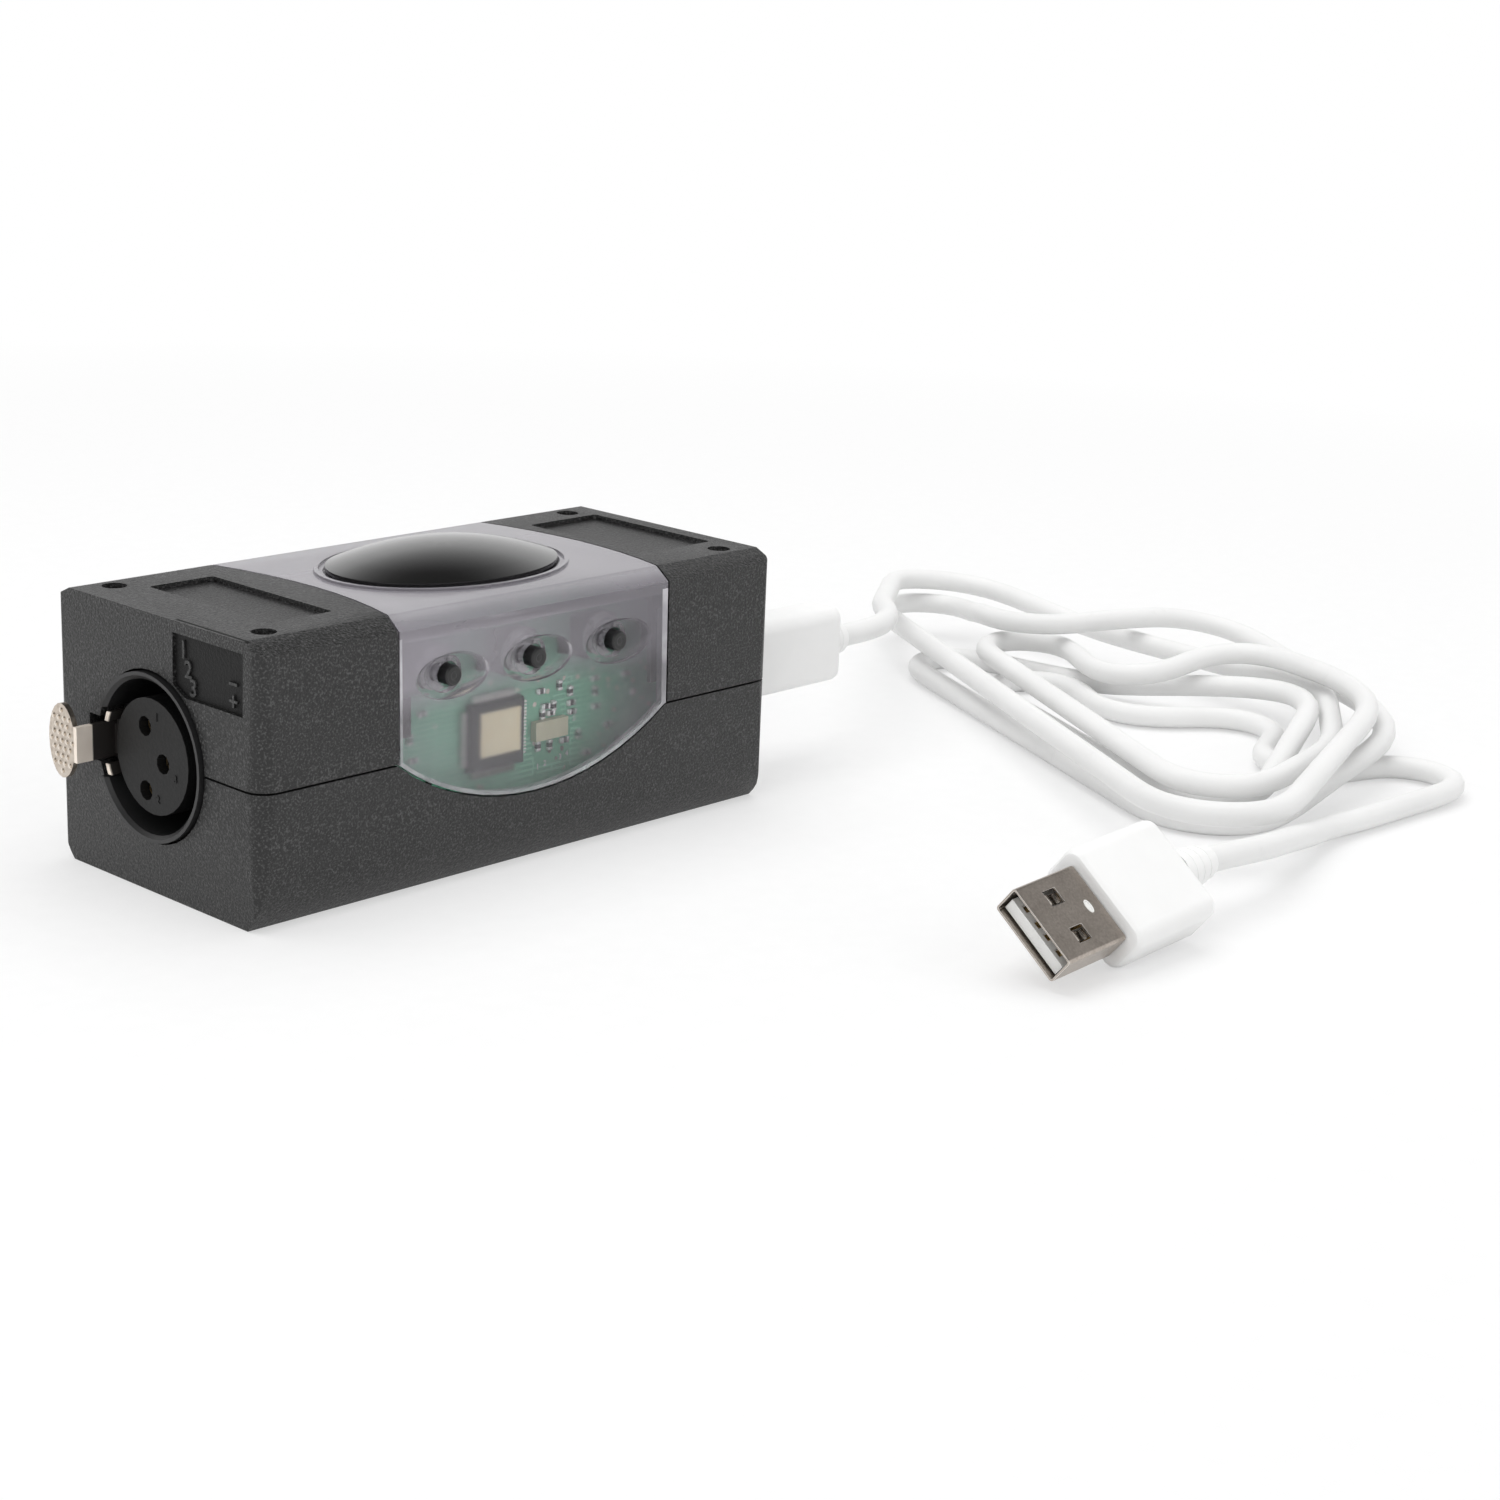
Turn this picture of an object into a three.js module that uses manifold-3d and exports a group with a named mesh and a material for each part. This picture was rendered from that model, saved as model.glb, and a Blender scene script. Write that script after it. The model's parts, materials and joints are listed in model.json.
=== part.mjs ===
// USB DMX interface: a black moulded box with a clear saddle window, a three-pin
// socket with a latch at one end and a USB lead plugged in at the other.
// Millimetres. X runs along the box towards the lead, the buttons face -Y, and the
// base stands on Z = 0 with the origin under its middle.
import * as THREE from 'three';
import { mergeGeometries, mergeVertices } from 'three/addons/utils/BufferGeometryUtils.js';
import Module from 'manifold-3d';

const wasm = await Module();
wasm.setup();

// Box
const boxLength = 95.6;
const boxWidth = 45.7;
const boxHeight = 38.6;
const partingHeight = 19;
const seam = 0.3;
const wall = 2;
const cornerRadius = 3.1;
const baseBevel = 3.3;
const baseBevelHeight = 6.5;
const topBevel = 3.8;
const topBevelHeight = 1.6;
const sideDraft = 0.4;
const endDraft = 0.3;
const lipHeight = 1.3;

// Saddle window
const windowHalf = 25;
const windowBulge = 4;
const tabDrop = 8.3;
const ledgeReach = 2.5;
const buttonPitch = 15.5;
const buttonHeight = 29.75;
const dishLength = 13;
const dishHeight = 6.5;
const dishDepth = 1.2;
const buttonHole = 1.8;
const badge = { x: 2.2, long: 18.4, wide: 13.7, rim: 0.4, crown: 3.1, seat: 0.6 };

// Case screws
const screwX = 42.1;
const screwY = 16.4;
const postRadius = 2.7;
const wellRadius = 1.7;
const wellFloor = 25;
const screwHole = 1;
const postMeet = 20.4;

// Latching socket
const socketY = 0.8;
const socketZ = 19;
const socketRim = 11.6;
const socketBore = 10.6;
const socketDepth = 21;
const insertRadius = 8;
const contactPlaces = [
  { y: 2.3, z: 22.9 },
  { y: 2.3, z: 14 },
  { y: -1.6, z: 18.5 },
];
const contactHole = 1.4;
const latchPin = { x: -33.5, y: 12.4, radius: 0.6 };
const latchThick = 0.8;
const latchWidth = 5;
const latchPlay = 0.08;
const latchFinger = { front: -48.2, middle: -46.1, end: -44.6, inside: 9.5, outside: 10.2 };

// Board and what stands on it
const boardFront = -14.6;
const boardThick = 1.6;
const boardBack = boardFront + boardThick;
const board = {
  left: -36, right: 38.6, low: 3.4, high: 34.4, tongueEnd: 46.2, tongueLow: 13.2, tongueHigh: 24.8,
};

// Lead
const plugY = -11.6;
const plugZ = 19;
const cordRadius = 1.85;
const relief = { start: 72.7, length: 3.2 };
const faceGap = 0.3;

// Far plug: the middle of its open end, and how it lies
const farPlug = { x: 14.2, y: -99.4, z: 6.9, roll: 39.5, pitch: 2.5 };

const black = { color: 0x17181a, roughness: 0.5, metalness: 0 };
const clear = { color: 0xb9b4c4, roughness: 0.12, metalness: 0, transparent: true, opacity: 0.45 };
const gloss = { color: 0x08080a, roughness: 0.05, metalness: 0 };
const nickel = { color: 0xb9b6b0, roughness: 0.25, metalness: 1 };
const brass = { color: 0xc9a24a, roughness: 0.3, metalness: 1 };
const steel = { color: 0x8d9094, roughness: 0.35, metalness: 1 };
const white = { color: 0xf2f2f0, roughness: 0.45, metalness: 0 };
const green = { color: 0x14503a, roughness: 0.5, metalness: 0 };
const chipBlack = { color: 0x1d1d1f, roughness: 0.6, metalness: 0 };
const beige = { color: 0xd8cfae, roughness: 0.8, metalness: 0 };
const yellow = { color: 0xc9a02a, roughness: 0.6, metalness: 0 };

const part = new THREE.Group();

function piece(name, form, look, parent = part) {
  const geometry = form.isBufferGeometry ? form : toGeometry(form);
  const mesh = new THREE.Mesh(geometry, new THREE.MeshStandardMaterial(look));
  mesh.name = name;
  parent.add(mesh);
  return mesh;
}

// Solids and meshes

function toSolid(geometry) {
  const bare = geometry.clone();
  bare.deleteAttribute('normal');
  bare.deleteAttribute('uv');
  const merged = mergeVertices(bare, 1e-4);
  const vertProperties = new Float32Array(merged.attributes.position.array);
  const triVerts = new Uint32Array(merged.index.array);
  return new wasm.Manifold(new wasm.Mesh({ numProp: 3, vertProperties, triVerts }));
}

function toGeometry(solid) {
  const mesh = solid.getMesh();
  const geometry = new THREE.BufferGeometry();
  geometry.setAttribute('position', new THREE.BufferAttribute(mesh.vertProperties, 3));
  geometry.setIndex(new THREE.BufferAttribute(mesh.triVerts, 1));
  geometry.computeVertexNormals();
  return geometry;
}

const join = (...solids) => solids.reduce((whole, next) => whole.add(next));
const cut = (solid, ...tools) => tools.reduce((rest, tool) => rest.subtract(tool), solid);

// Prisms: a shape drawn in (x, y), (y, z) or (x, z) and drawn out along the third axis

const ontoX = new THREE.Matrix4().makeBasis(
  new THREE.Vector3(0, 1, 0), new THREE.Vector3(0, 0, 1), new THREE.Vector3(1, 0, 0));

function extruded(shape, depth, curveSegments) {
  return new THREE.ExtrudeGeometry(shape, { depth, bevelEnabled: false, curveSegments });
}

function alongZ(shape, z0, z1, curveSegments = 8) {
  return toSolid(extruded(shape, z1 - z0, curveSegments).translate(0, 0, z0));
}

function alongX(shape, x0, x1, curveSegments = 8) {
  return toSolid(extruded(shape, x1 - x0, curveSegments).applyMatrix4(ontoX).translate(x0, 0, 0));
}

function alongY(shape, y0, y1, curveSegments = 8) {
  return toSolid(extruded(shape, y1 - y0, curveSegments).rotateX(Math.PI / 2).translate(0, y1, 0));
}

function block(x0, x1, y0, y1, z0, z1) {
  const geometry = new THREE.BoxGeometry(x1 - x0, y1 - y0, z1 - z0);
  return toSolid(geometry.translate((x0 + x1) / 2, (y0 + y1) / 2, (z0 + z1) / 2));
}

function rodX(radius, x0, x1, y, z, sides = 24) {
  const geometry = new THREE.CylinderGeometry(radius, radius, x1 - x0, sides);
  return toSolid(geometry.rotateZ(-Math.PI / 2).translate((x0 + x1) / 2, y, z));
}

function rodY(radius, y0, y1, x, z, sides = 20) {
  const geometry = new THREE.CylinderGeometry(radius, radius, y1 - y0, sides);
  return toSolid(geometry.translate(x, (y0 + y1) / 2, z));
}

function rodZ(radius, z0, z1, x, y, sides = 16) {
  const geometry = new THREE.CylinderGeometry(radius, radius, z1 - z0, sides);
  return toSolid(geometry.rotateX(Math.PI / 2).translate(x, y, (z0 + z1) / 2));
}

function rounded(left, right, low, high, radius) {
  const shape = new THREE.Shape();
  shape.moveTo(left + radius, low);
  shape.lineTo(right - radius, low);
  shape.absarc(right - radius, low + radius, radius, -Math.PI / 2, 0);
  shape.lineTo(right, high - radius);
  shape.absarc(right - radius, high - radius, radius, 0, Math.PI / 2);
  shape.lineTo(left + radius, high);
  shape.absarc(left + radius, high - radius, radius, Math.PI / 2, Math.PI);
  shape.lineTo(left, low + radius);
  shape.absarc(left + radius, low + radius, radius, Math.PI, Math.PI * 1.5);
  return shape;
}

function polygon(points) {
  return new THREE.Shape(points.map(([u, v]) => new THREE.Vector2(u, v)));
}

function ellipse(x, y, long, wide) {
  const shape = new THREE.Shape();
  shape.absellipse(x, y, long, wide, 0, Math.PI * 2);
  return shape;
}

// Case: the outer form, or the same form drawn in by an inset all round

function sectionAcross(inset) {
  const half = boxWidth / 2 - inset;
  const low = inset;
  const high = boxHeight - inset;
  const foot = half - baseBevel;
  const shape = new THREE.Shape();
  shape.moveTo(-foot, low);
  shape.lineTo(foot, low);
  shape.quadraticCurveTo(half - 0.9, low + 2.2, half - 0.5, baseBevelHeight + inset * 0.4);
  shape.lineTo(half, partingHeight);
  shape.lineTo(half - sideDraft, high - topBevelHeight);
  shape.lineTo(half - topBevel, high);
  shape.lineTo(topBevel - half, high);
  shape.lineTo(sideDraft - half, high - topBevelHeight);
  shape.lineTo(-half, partingHeight);
  shape.lineTo(0.5 - half, baseBevelHeight + inset * 0.4);
  shape.quadraticCurveTo(0.9 - half, low + 2.2, -foot, low);
  return shape;
}

function caseForm(inset) {
  const half = boxLength / 2 - inset;
  const side = boxWidth / 2 - inset;
  const plan = rounded(-half, half, -side, side, Math.max(cornerRadius - inset, 0.8));
  const profile = polygon([
    [endDraft - half, inset - 1], [half - endDraft, inset - 1], [half, partingHeight],
    [half - endDraft, boxHeight - inset + 1], [endDraft - half, boxHeight - inset + 1], [-half, partingHeight],
  ]);
  return alongX(sectionAcross(inset), -half - 1, half + 1, 5)
    .intersect(alongZ(plan, -1, boxHeight + 1, 5))
    .intersect(alongY(profile, -boxWidth, boxWidth));
}

// Window plan: both edges bow towards the lead end by the same amount on the top
function windowPlan(grow) {
  const steps = 10;
  const reach = boxWidth / 2 + 1;
  const edge = (x, y) => x + windowBulge * Math.max(0, 1 - (y / (boxWidth / 2)) ** 2);
  const points = [];
  for (let i = 0; i <= steps; i += 1) {
    const y = -reach + (2 * reach * i) / steps;
    points.push([edge(windowHalf, y) + grow, y]);
  }
  for (let i = steps; i >= 0; i -= 1) {
    const y = -reach + (2 * reach * i) / steps;
    points.push([edge(-windowHalf, y) - grow, y]);
  }
  return polygon(points);
}

// Tab: the arc of the window that hangs below the parting line on each long side
function tabShape(grow, top) {
  const radius = (windowHalf ** 2 + tabDrop ** 2) / (2 * tabDrop);
  const centre = partingHeight - tabDrop + radius;
  const steps = 16;
  const half = Math.asin(windowHalf / radius);
  const points = [[windowHalf + grow, top], [-windowHalf - grow, top], [-windowHalf - grow, partingHeight]];
  for (let i = 1; i < steps; i += 1) {
    const angle = -half + (2 * half * i) / steps;
    points.push([(radius + grow) * Math.sin(angle), centre - (radius + grow) * Math.cos(angle)]);
  }
  points.push([windowHalf + grow, partingHeight]);
  return polygon(points);
}

const outer = caseForm(0);
const inner = caseForm(wall);
const shellWall = outer.subtract(inner);
const wide = boxWidth;
const reachX = boxLength;
const below = block(-reachX, reachX, -wide, wide, -5, partingHeight - seam / 2);
const above = block(-reachX, reachX, -wide, wide, partingHeight + seam / 2, boxHeight + 5);
const aboveParting = block(-reachX, reachX, -wide, wide, partingHeight, boxHeight + 5);
const windowPrism = alongZ(windowPlan(0), -1, boxHeight + 1);
const windowPrismWide = alongZ(windowPlan(seam), partingHeight - seam / 2, boxHeight + 1);

const socketHole = rodX(socketRim + 0.3, -boxLength, -boxLength / 2 + 8, socketY, socketZ, 40);
const latchSlot = block(-boxLength, -boxLength / 2 + 4, socketY + 8, 14.6, socketZ - 3.2, socketZ + 3.2);
const plugHole = alongX(rounded(plugY - 1.9, plugY + 1.9, plugZ - 4.2, plugZ + 4.2, 0.6), 44, boxLength, 2);
const endHoles = join(socketHole, latchSlot, plugHole);
const tongueSpace = block(36, 47, boardFront - 0.3, 0, board.tongueLow - 0.5, board.tongueHigh + 0.5);

const screwPlaces = [[-screwX, -screwY], [-screwX, screwY], [screwX, -screwY], [screwX, screwY]];

function boardRibs() {
  const ribs = [];
  for (const x of [board.left + 3, board.right - 4]) {
    const guide = block(x - 1, x + 1, boardFront - 2, boardBack + 2, 1.5, 9);
    ribs.push(guide.subtract(block(x - 2, x + 2, boardFront - 0.3, boardBack + 0.3, board.low - 0.3, 10)));
  }
  return ribs;
}

function lowerShell() {
  const lipRing = caseForm(wall - 0.9).subtract(inner);
  const lipBand = block(-reachX, reachX, -wide, wide, partingHeight - 2, partingHeight + lipHeight);
  const shell = join(
    shellWall.intersect(below),
    lipRing.intersect(lipBand),
    ...boardRibs(),
    ...screwPlaces.map(([x, y]) => rodZ(postRadius, wall - 0.5, postMeet - 0.3, x, y)),
  );
  const tabCut = alongY(tabShape(seam, partingHeight + 3), -wide, wide);
  return cut(
    shell, tabCut, windowPrismWide, endHoles, tongueSpace,
    ...screwPlaces.map(([x, y]) => rodZ(screwHole, 8, postMeet + 1, x, y, 12)),
  );
}

function endCap(side) {
  const half = side < 0 ? block(-reachX, 0, -wide, wide, -5, 50) : block(0, reachX, -wide, wide, -5, 50);
  const ledgeRing = caseForm(wall + seam).subtract(caseForm(wall + 1.3));
  const ledgeRoot = caseForm(wall - 0.3).subtract(caseForm(wall + 1.3));
  const ledgeZone = alongZ(windowPlan(-ledgeReach), -1, boxHeight + 1);
  const rootZone = alongZ(windowPlan(3), -1, boxHeight + 1);
  const ledge = join(
    ledgeRing.intersect(rootZone).subtract(ledgeZone),
    ledgeRoot.intersect(rootZone).subtract(windowPrismWide),
  ).intersect(block(-reachX, reachX, -wide, wide, partingHeight + 3, boxHeight + 5));
  const posts = screwPlaces.filter(([x]) => x * side > 0);
  const cap = join(
    shellWall.intersect(above).subtract(windowPrismWide),
    ledge,
    ...posts.map(([x, y]) => rodZ(postRadius, postMeet, boxHeight - wall / 2, x, y)),
  ).intersect(half);
  const lipSpace = caseForm(wall - 1.2).intersect(
    block(-reachX, reachX, -wide, wide, -5, partingHeight + lipHeight + seam));
  const lipOnly = lipSpace.subtract(join(...posts.map(([x, y]) => rodZ(postRadius, 0, 30, x, y))));
  return cut(
    cap, lipOnly, endHoles, tongueSpace,
    ...posts.map(([x, y]) => rodZ(wellRadius, wellFloor, boxHeight + 1, x, y, 24)),
    ...posts.map(([x, y]) => rodZ(screwHole, 10, wellFloor + 1, x, y, 12)),
  );
}

const panelDepth = 0.7;
const legendDepth = 0.5;

function capAtSocket() {
  const topPanel = alongZ(rounded(-38.8, -28.2, -13, 13.2, 0.5), boxHeight - panelDepth, boxHeight + 1, 2);
  const legend = polygon([[-19.2, 28.7], [-6.9, 28.7], [-4.3, 30.1], [-4.3, 37], [-19.2, 37]]);
  const legendPanel = alongX(legend, -boxLength / 2 - 1, -boxLength / 2 + endDraft + legendDepth);
  return cut(endCap(-1), topPanel, legendPanel);
}

function capAtLead() {
  const topPanel = alongZ(rounded(31, 44.8, -12, 13, 0.5), boxHeight - panelDepth, boxHeight + 1, 2);
  return endCap(1).subtract(topPanel);
}

function saddleWindow() {
  const tabs = alongY(tabShape(0, partingHeight + 0.05), -wide, wide);
  const skin = shellWall.intersect(join(windowPrism.intersect(aboveParting), tabs));
  const collars = [];
  const cuts = [];
  const face = -boxWidth / 2 + 0.24;
  for (const x of [-buttonPitch, 0, buttonPitch]) {
    collars.push(rodY(buttonHole + 1.2, face + wall - 0.3, -19.2, x, buttonHeight));
    cuts.push(rodY(buttonHole, -wide, -19, x, buttonHeight));
    const dish = new THREE.SphereGeometry(1, 24, 12).scale(dishLength / 2, dishDepth, dishHeight / 2);
    cuts.push(toSolid(dish.translate(x, face, buttonHeight)));
  }
  const oval = (grow, z0, z1) => {
    const shape = ellipse(badge.x, 0, badge.long + grow, badge.wide + grow);
    return alongZ(shape, boxHeight + z0, boxHeight + z1, 24);
  };
  const ring = oval(1.6, -0.5, 0.35).subtract(oval(1, -1, 1));
  const seat = oval(0.3, -badge.seat, 1);
  return cut(join(skin, ring, ...collars), seat, ...cuts);
}

// Dome: a flat underside, a short upright rim and a shallow crown, stretched to an oval
function badgeDome() {
  const profile = [[0, 0], [1, 0]];
  const rings = 6;
  for (let i = rings; i >= 0; i -= 1) {
    const r = i / rings;
    profile.push([r, badge.seat + badge.rim + badge.crown * (1 - r ** 2)]);
  }
  const lathe = new THREE.LatheGeometry(profile.map(([r, z]) => new THREE.Vector2(r, z)), 48);
  return toSolid(lathe.rotateX(Math.PI / 2).scale(badge.long, badge.wide, 1));
}

function turned(profile, sides = 24) {
  return toSolid(new THREE.LatheGeometry(profile.map(([r, h]) => new THREE.Vector2(r, h)), sides));
}

// Case screw: pan head with a cross recess, standing on the floor of its well
function caseScrew() {
  const headRadius = 1.5;
  const shaft = 13;
  const shank = turned([
    [0, -shaft], [0.5, -shaft], [0.72, -shaft + 0.8], [0.72, 0], [headRadius, 0],
    [headRadius, 0.8], [1, 1.3], [0, 1.3],
  ], 16);
  const slots = [block(-0.8, 0.8, -2, 2, -0.2, 0.2), block(-0.2, 0.2, -2, 2, -0.8, 0.8)]
    .map((bar) => bar.translate([0, 2.7, 0]));
  return toGeometry(cut(shank, ...slots)).rotateX(Math.PI / 2);
}

// Socket housing: a rimmed tube closed at the back, with a boss and slot for the latch
function socketHousing() {
  const front = -boxLength / 2 - 0.6;
  const back = front + socketDepth;
  const body = join(
    rodX(socketRim, front, back, socketY, socketZ, 48),
    alongX(rounded(8, 14.8, socketZ - 5.4, socketZ + 5.4, 0.8), latchPin.x - 2.6, back, 2),
  );
  const bore = rodX(socketBore, front - 1, back - 3, socketY, socketZ, 48);
  const lead = new THREE.CylinderGeometry(socketBore, socketBore + 0.5, 0.5, 48);
  const mouth = toSolid(lead.rotateZ(-Math.PI / 2).translate(front + 0.25, socketY, socketZ));
  const slot = block(front - 1, latchPin.x + 2.4, socketY + 7, 14, socketZ - 2.9, socketZ + 2.9);
  const fingerSpace = block(front - 1, latchFinger.end + 0.4, socketY + 7, 14, socketZ - 4.9, socketZ + 4.9);
  const pinHole = rodZ(latchPin.radius + 0.25, socketZ - 4.6, socketZ + 4.6, latchPin.x, latchPin.y);
  const tails = contactPlaces.map(({ y, z }) => rodX(0.9, back - 4, back + 1, y, z, 12));
  return cut(body, bore, mouth, slot, fingerSpace, pinHole, ...tails);
}

function contactInsert() {
  const front = -boxLength / 2 + 0.3;
  const back = -boxLength / 2 - 0.6 + socketDepth - 3 - faceGap;
  const body = rodX(insertRadius, front, back, socketY, socketZ, 32);
  const holes = contactPlaces.map(({ y, z }) => rodX(contactHole, front - 1, front + 14, y, z, 10));
  const tails = contactPlaces.map(({ y, z }) => rodX(0.9, front + 13, back + 1, y, z, 6));
  return cut(body, ...holes, ...tails);
}

// Contact: a sprung tube for the pin, a tail through the back and a leg to the board
function contact({ y, z }) {
  const tube = rodX(1.1, -46.2, -33.9, y, z, 16);
  const bore = rodX(0.8, -47, -36, y, z, 12);
  const tail = rodX(0.6, -34.5, -25.2, y, z, 8);
  const leg = rodY(0.6, boardBack + faceGap, y, -25.2, z, 8);
  const elbow = toSolid(new THREE.SphereGeometry(0.62, 10, 6).translate(-25.2, y, z));
  return join(tube.subtract(bore), tail, leg, elbow);
}

// Latch: a bent strip that turns on its pin, with a hook, a finger that ends in two curved
// ears at the bore's rim, and a thumb tab
function latchLever() {
  const armY = latchPin.y - 1.2;
  const front = -51.4;
  const half = latchWidth / 2;
  const arm = polygon([
    [latchPin.x, armY], [latchPin.x, armY + latchThick], [front, armY + latchThick],
    [front, 17.2], [front - latchThick, 17.2], [front - latchThick, armY],
    [-43.4, armY], [-42, armY - 1], [-41.6, armY],
  ]);
  const strip = alongZ(arm, socketZ - half, socketZ + half, 1);
  const tab = new THREE.Shape();
  tab.absellipse(14.7, socketZ, 3, 5.2, 0, Math.PI * 2);
  const thumb = alongX(tab, front - latchThick, front, 12);
  const barrel = rodZ(1.3, socketZ - half, socketZ + half, latchPin.x, latchPin.y, 20);
  const { front: fingerFront, middle, end, inside, outside } = latchFinger;
  const finger = rodX(outside, fingerFront, end, socketY, socketZ, 48)
    .subtract(rodX(inside, fingerFront - 1, end + 1, socketY, socketZ, 48))
    .intersect(block(fingerFront, end, socketY, 14, socketZ - 4.4, socketZ + 4.4))
    .subtract(block(fingerFront - 1, middle, socketY, 14, socketZ - 3, socketZ + 3));
  const bridge = block(middle, end, socketY + 9.7, armY + 0.4, socketZ - half + 0.4, socketZ + half - 0.4);
  const eye = rodZ(latchPin.radius + latchPlay, 0, 40, latchPin.x, latchPin.y);
  return cut(join(strip, thumb, barrel, finger, bridge), eye);
}

// Board: one outline with a tongue that passes the screw post and carries the USB socket
function circuitBoard() {
  const { left, right, low, high, tongueEnd, tongueLow, tongueHigh } = board;
  const outline = polygon([
    [left, low], [right, low], [right, tongueLow], [tongueEnd, tongueLow],
    [tongueEnd, tongueHigh], [right, tongueHigh], [right, high], [left, high],
  ]);
  return alongY(outline, boardFront, boardBack);
}

function onFront(x0, x1, z0, z1, height, gap = faceGap / 2) {
  return block(x0, x1, boardFront - gap - height, boardFront - gap, z0, z1);
}

function onBack(x0, x1, z0, z1, height, gap = faceGap / 2) {
  return block(x0, x1, boardBack + gap, boardBack + gap + height, z0, z1);
}

// Square package: a body with its top edges drawn in and a row of legs on each side
function squareChip() {
  const [x, z, half, tall] = [-2.2, 17.8, 5, 1.3];
  const base = boardFront - 0.4;
  const body = new THREE.CylinderGeometry(half * Math.SQRT2, (half - 0.25) * Math.SQRT2, tall, 4);
  body.rotateY(Math.PI / 4).translate(x, base - tall / 2, z);
  const legs = [];
  for (let i = 0; i < 16; i += 1) {
    const along = (i - 7.5) * 0.5;
    for (const [near, far] of [[-half - 1, -half + 0.3], [half - 0.3, half + 1]]) {
      legs.push(block(x + along - 0.11, x + along + 0.11, base - 0.5, base + 0.2, z + near, z + far));
      legs.push(block(x + near, x + far, base - 0.5, base + 0.2, z + along - 0.11, z + along + 0.11));
    }
  }
  return join(toSolid(body), ...legs);
}

function smallChip(x, z, long, high, tall) {
  const body = onBack(x - long / 2, x + long / 2, z - high / 2, z + high / 2, tall);
  const legs = [];
  for (let i = 0; i < 4; i += 1) {
    const along = x + (i - 1.5) * 1.27;
    legs.push(onBack(along - 0.2, along + 0.2, z - high / 2 - 1, z + high / 2 + 1, 0.5));
  }
  return join(body, ...legs);
}

function switchBody(x) {
  const half = 3;
  const body = alongY(
    rounded(x - half, x + half, buttonHeight - half, buttonHeight + half, 0.5), -17.9, boardFront - 0.15, 2);
  const bore = rodY(1.75, -19, boardFront - 1.2, x, buttonHeight);
  const pegs = [-2.2, 2.2].map((off) => rodY(0.5, -18.2, -17.5, x + off, buttonHeight + off, 10));
  return cut(join(body, ...pegs), bore);
}

// Button: a round pin whose top just clears the dish, with a foot inside its switch
function buttonPin() {
  const tip = boxWidth / 2 + 0.15;
  return turned([
    [0, -boardFront + 1.9], [1.45, -boardFront + 1.9], [1.45, tip - 0.25], [1.2, tip], [0, tip],
  ], 20);
}

function usbSocket() {
  const high = 7.6;
  const deep = 2.6;
  const shell = alongX(
    rounded(plugY - deep / 2, plugY + deep / 2, plugZ - high / 2, plugZ + high / 2, 0.5), 40.8, 47.2, 2);
  const bore = alongX(
    rounded(plugY - deep / 2 + 0.3, plugY + deep / 2 - 0.3, plugZ - high / 2 + 0.3, plugZ + high / 2 - 0.3, 0.3),
    41.6, 48, 2);
  const foot = block(40.8, 45, boardBack + 0.12, plugY, plugZ - 2.5, plugZ + 2.5).subtract(
    alongX(rounded(plugY - 0.9, 5, plugZ - 3, plugZ + 3, 0.1), 41.6, 48, 1));
  return join(shell.subtract(bore), foot);
}

// Moulded plug at the box: rounded block whose outer end steps down to the strain relief
function leadPlugBody() {
  const start = boxLength / 2 + faceGap;
  const body = new THREE.ExtrudeGeometry(rounded(-3, 3, -5, 5, 1), {
    depth: relief.start - faceGap - start - 2, bevelEnabled: true,
    bevelThickness: 1, bevelSize: 1, bevelSegments: 3, curveSegments: 4,
  });
  return toSolid(body.applyMatrix4(ontoX).translate(start + 1, plugY, plugZ));
}

function leadPlugShell() {
  const start = 42.6;
  const end = boxLength / 2 + faceGap - 0.3;
  const outside = rounded(plugY - 0.8, plugY + 0.8, plugZ - 3.2, plugZ + 3.2, 0.4);
  const inside = rounded(plugY - 0.5, plugY + 0.5, plugZ - 2.9, plugZ + 2.9, 0.2);
  return alongX(outside, start, end, 2).subtract(alongX(inside, start - 1, end - 1, 2));
}

function ribbedRelief(length, startRadius, endRadius, ribs) {
  const profile = [[0, 0]];
  for (let i = 0; i < ribs; i += 1) {
    const from = (length * i) / ribs;
    const to = (length * (i + 0.6)) / ribs;
    const radius = startRadius + ((endRadius - startRadius) * i) / Math.max(1, ribs - 1);
    profile.push([radius, from], [radius, to]);
    if (i < ribs - 1) profile.push([radius - 0.35, to], [radius - 0.35, (length * (i + 1)) / ribs]);
  }
  profile.push([endRadius - 0.3, length], [0, length]);
  return new THREE.LatheGeometry(profile.map(([r, h]) => new THREE.Vector2(r, h)), 16);
}

// Bends that the cord lies round, box to far plug, chosen by eye along the photographed cord:
// centre, radius (+ turns left, - turns right), height, height where it leaves. Radius 0 is a
// point it passes. A strand lies on the floor at 2 mm, or over one or two others.
const leadBends = [
  [82, 6.4, 18, 19], [104, 3, 0, 17.5], [145, 18, -13, 12.2, 9], [156.6, -4, 0, 6.4],
];
const loopBends = [
  [
    [142.5, -51, -10, 6.4], [110, -44, -34, 6.4], [97, -71.5, -9, 6.4], [134.3, -6.2, -8, 6.4],
    [139, -27, 8.5, 6.4, 8],
  ],
  [
    [141, -46, -10, 10.6, 10.8], [115, -46, -35, 10.8], [81, -81.5, -11.5, 8.4], [143, 25, -8, 6.3],
    [143, -1, 9, 11],
  ],
  [
    [156, -28, -12, 11.2, 8], [117.5, -41.5, -40.7, 6.4], [95, -72, -12, 2], [128, 4, -8, 2],
    [151, -20, 12.5, 2, 3],
  ],
  [
    [137, -49.5, -9.5, 6.4], [116, -38, -32, 8.6], [102, -66.5, -9, 2], [126, -15, -8, 2],
    [137, -31, 11, 2],
  ],
];
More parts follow.
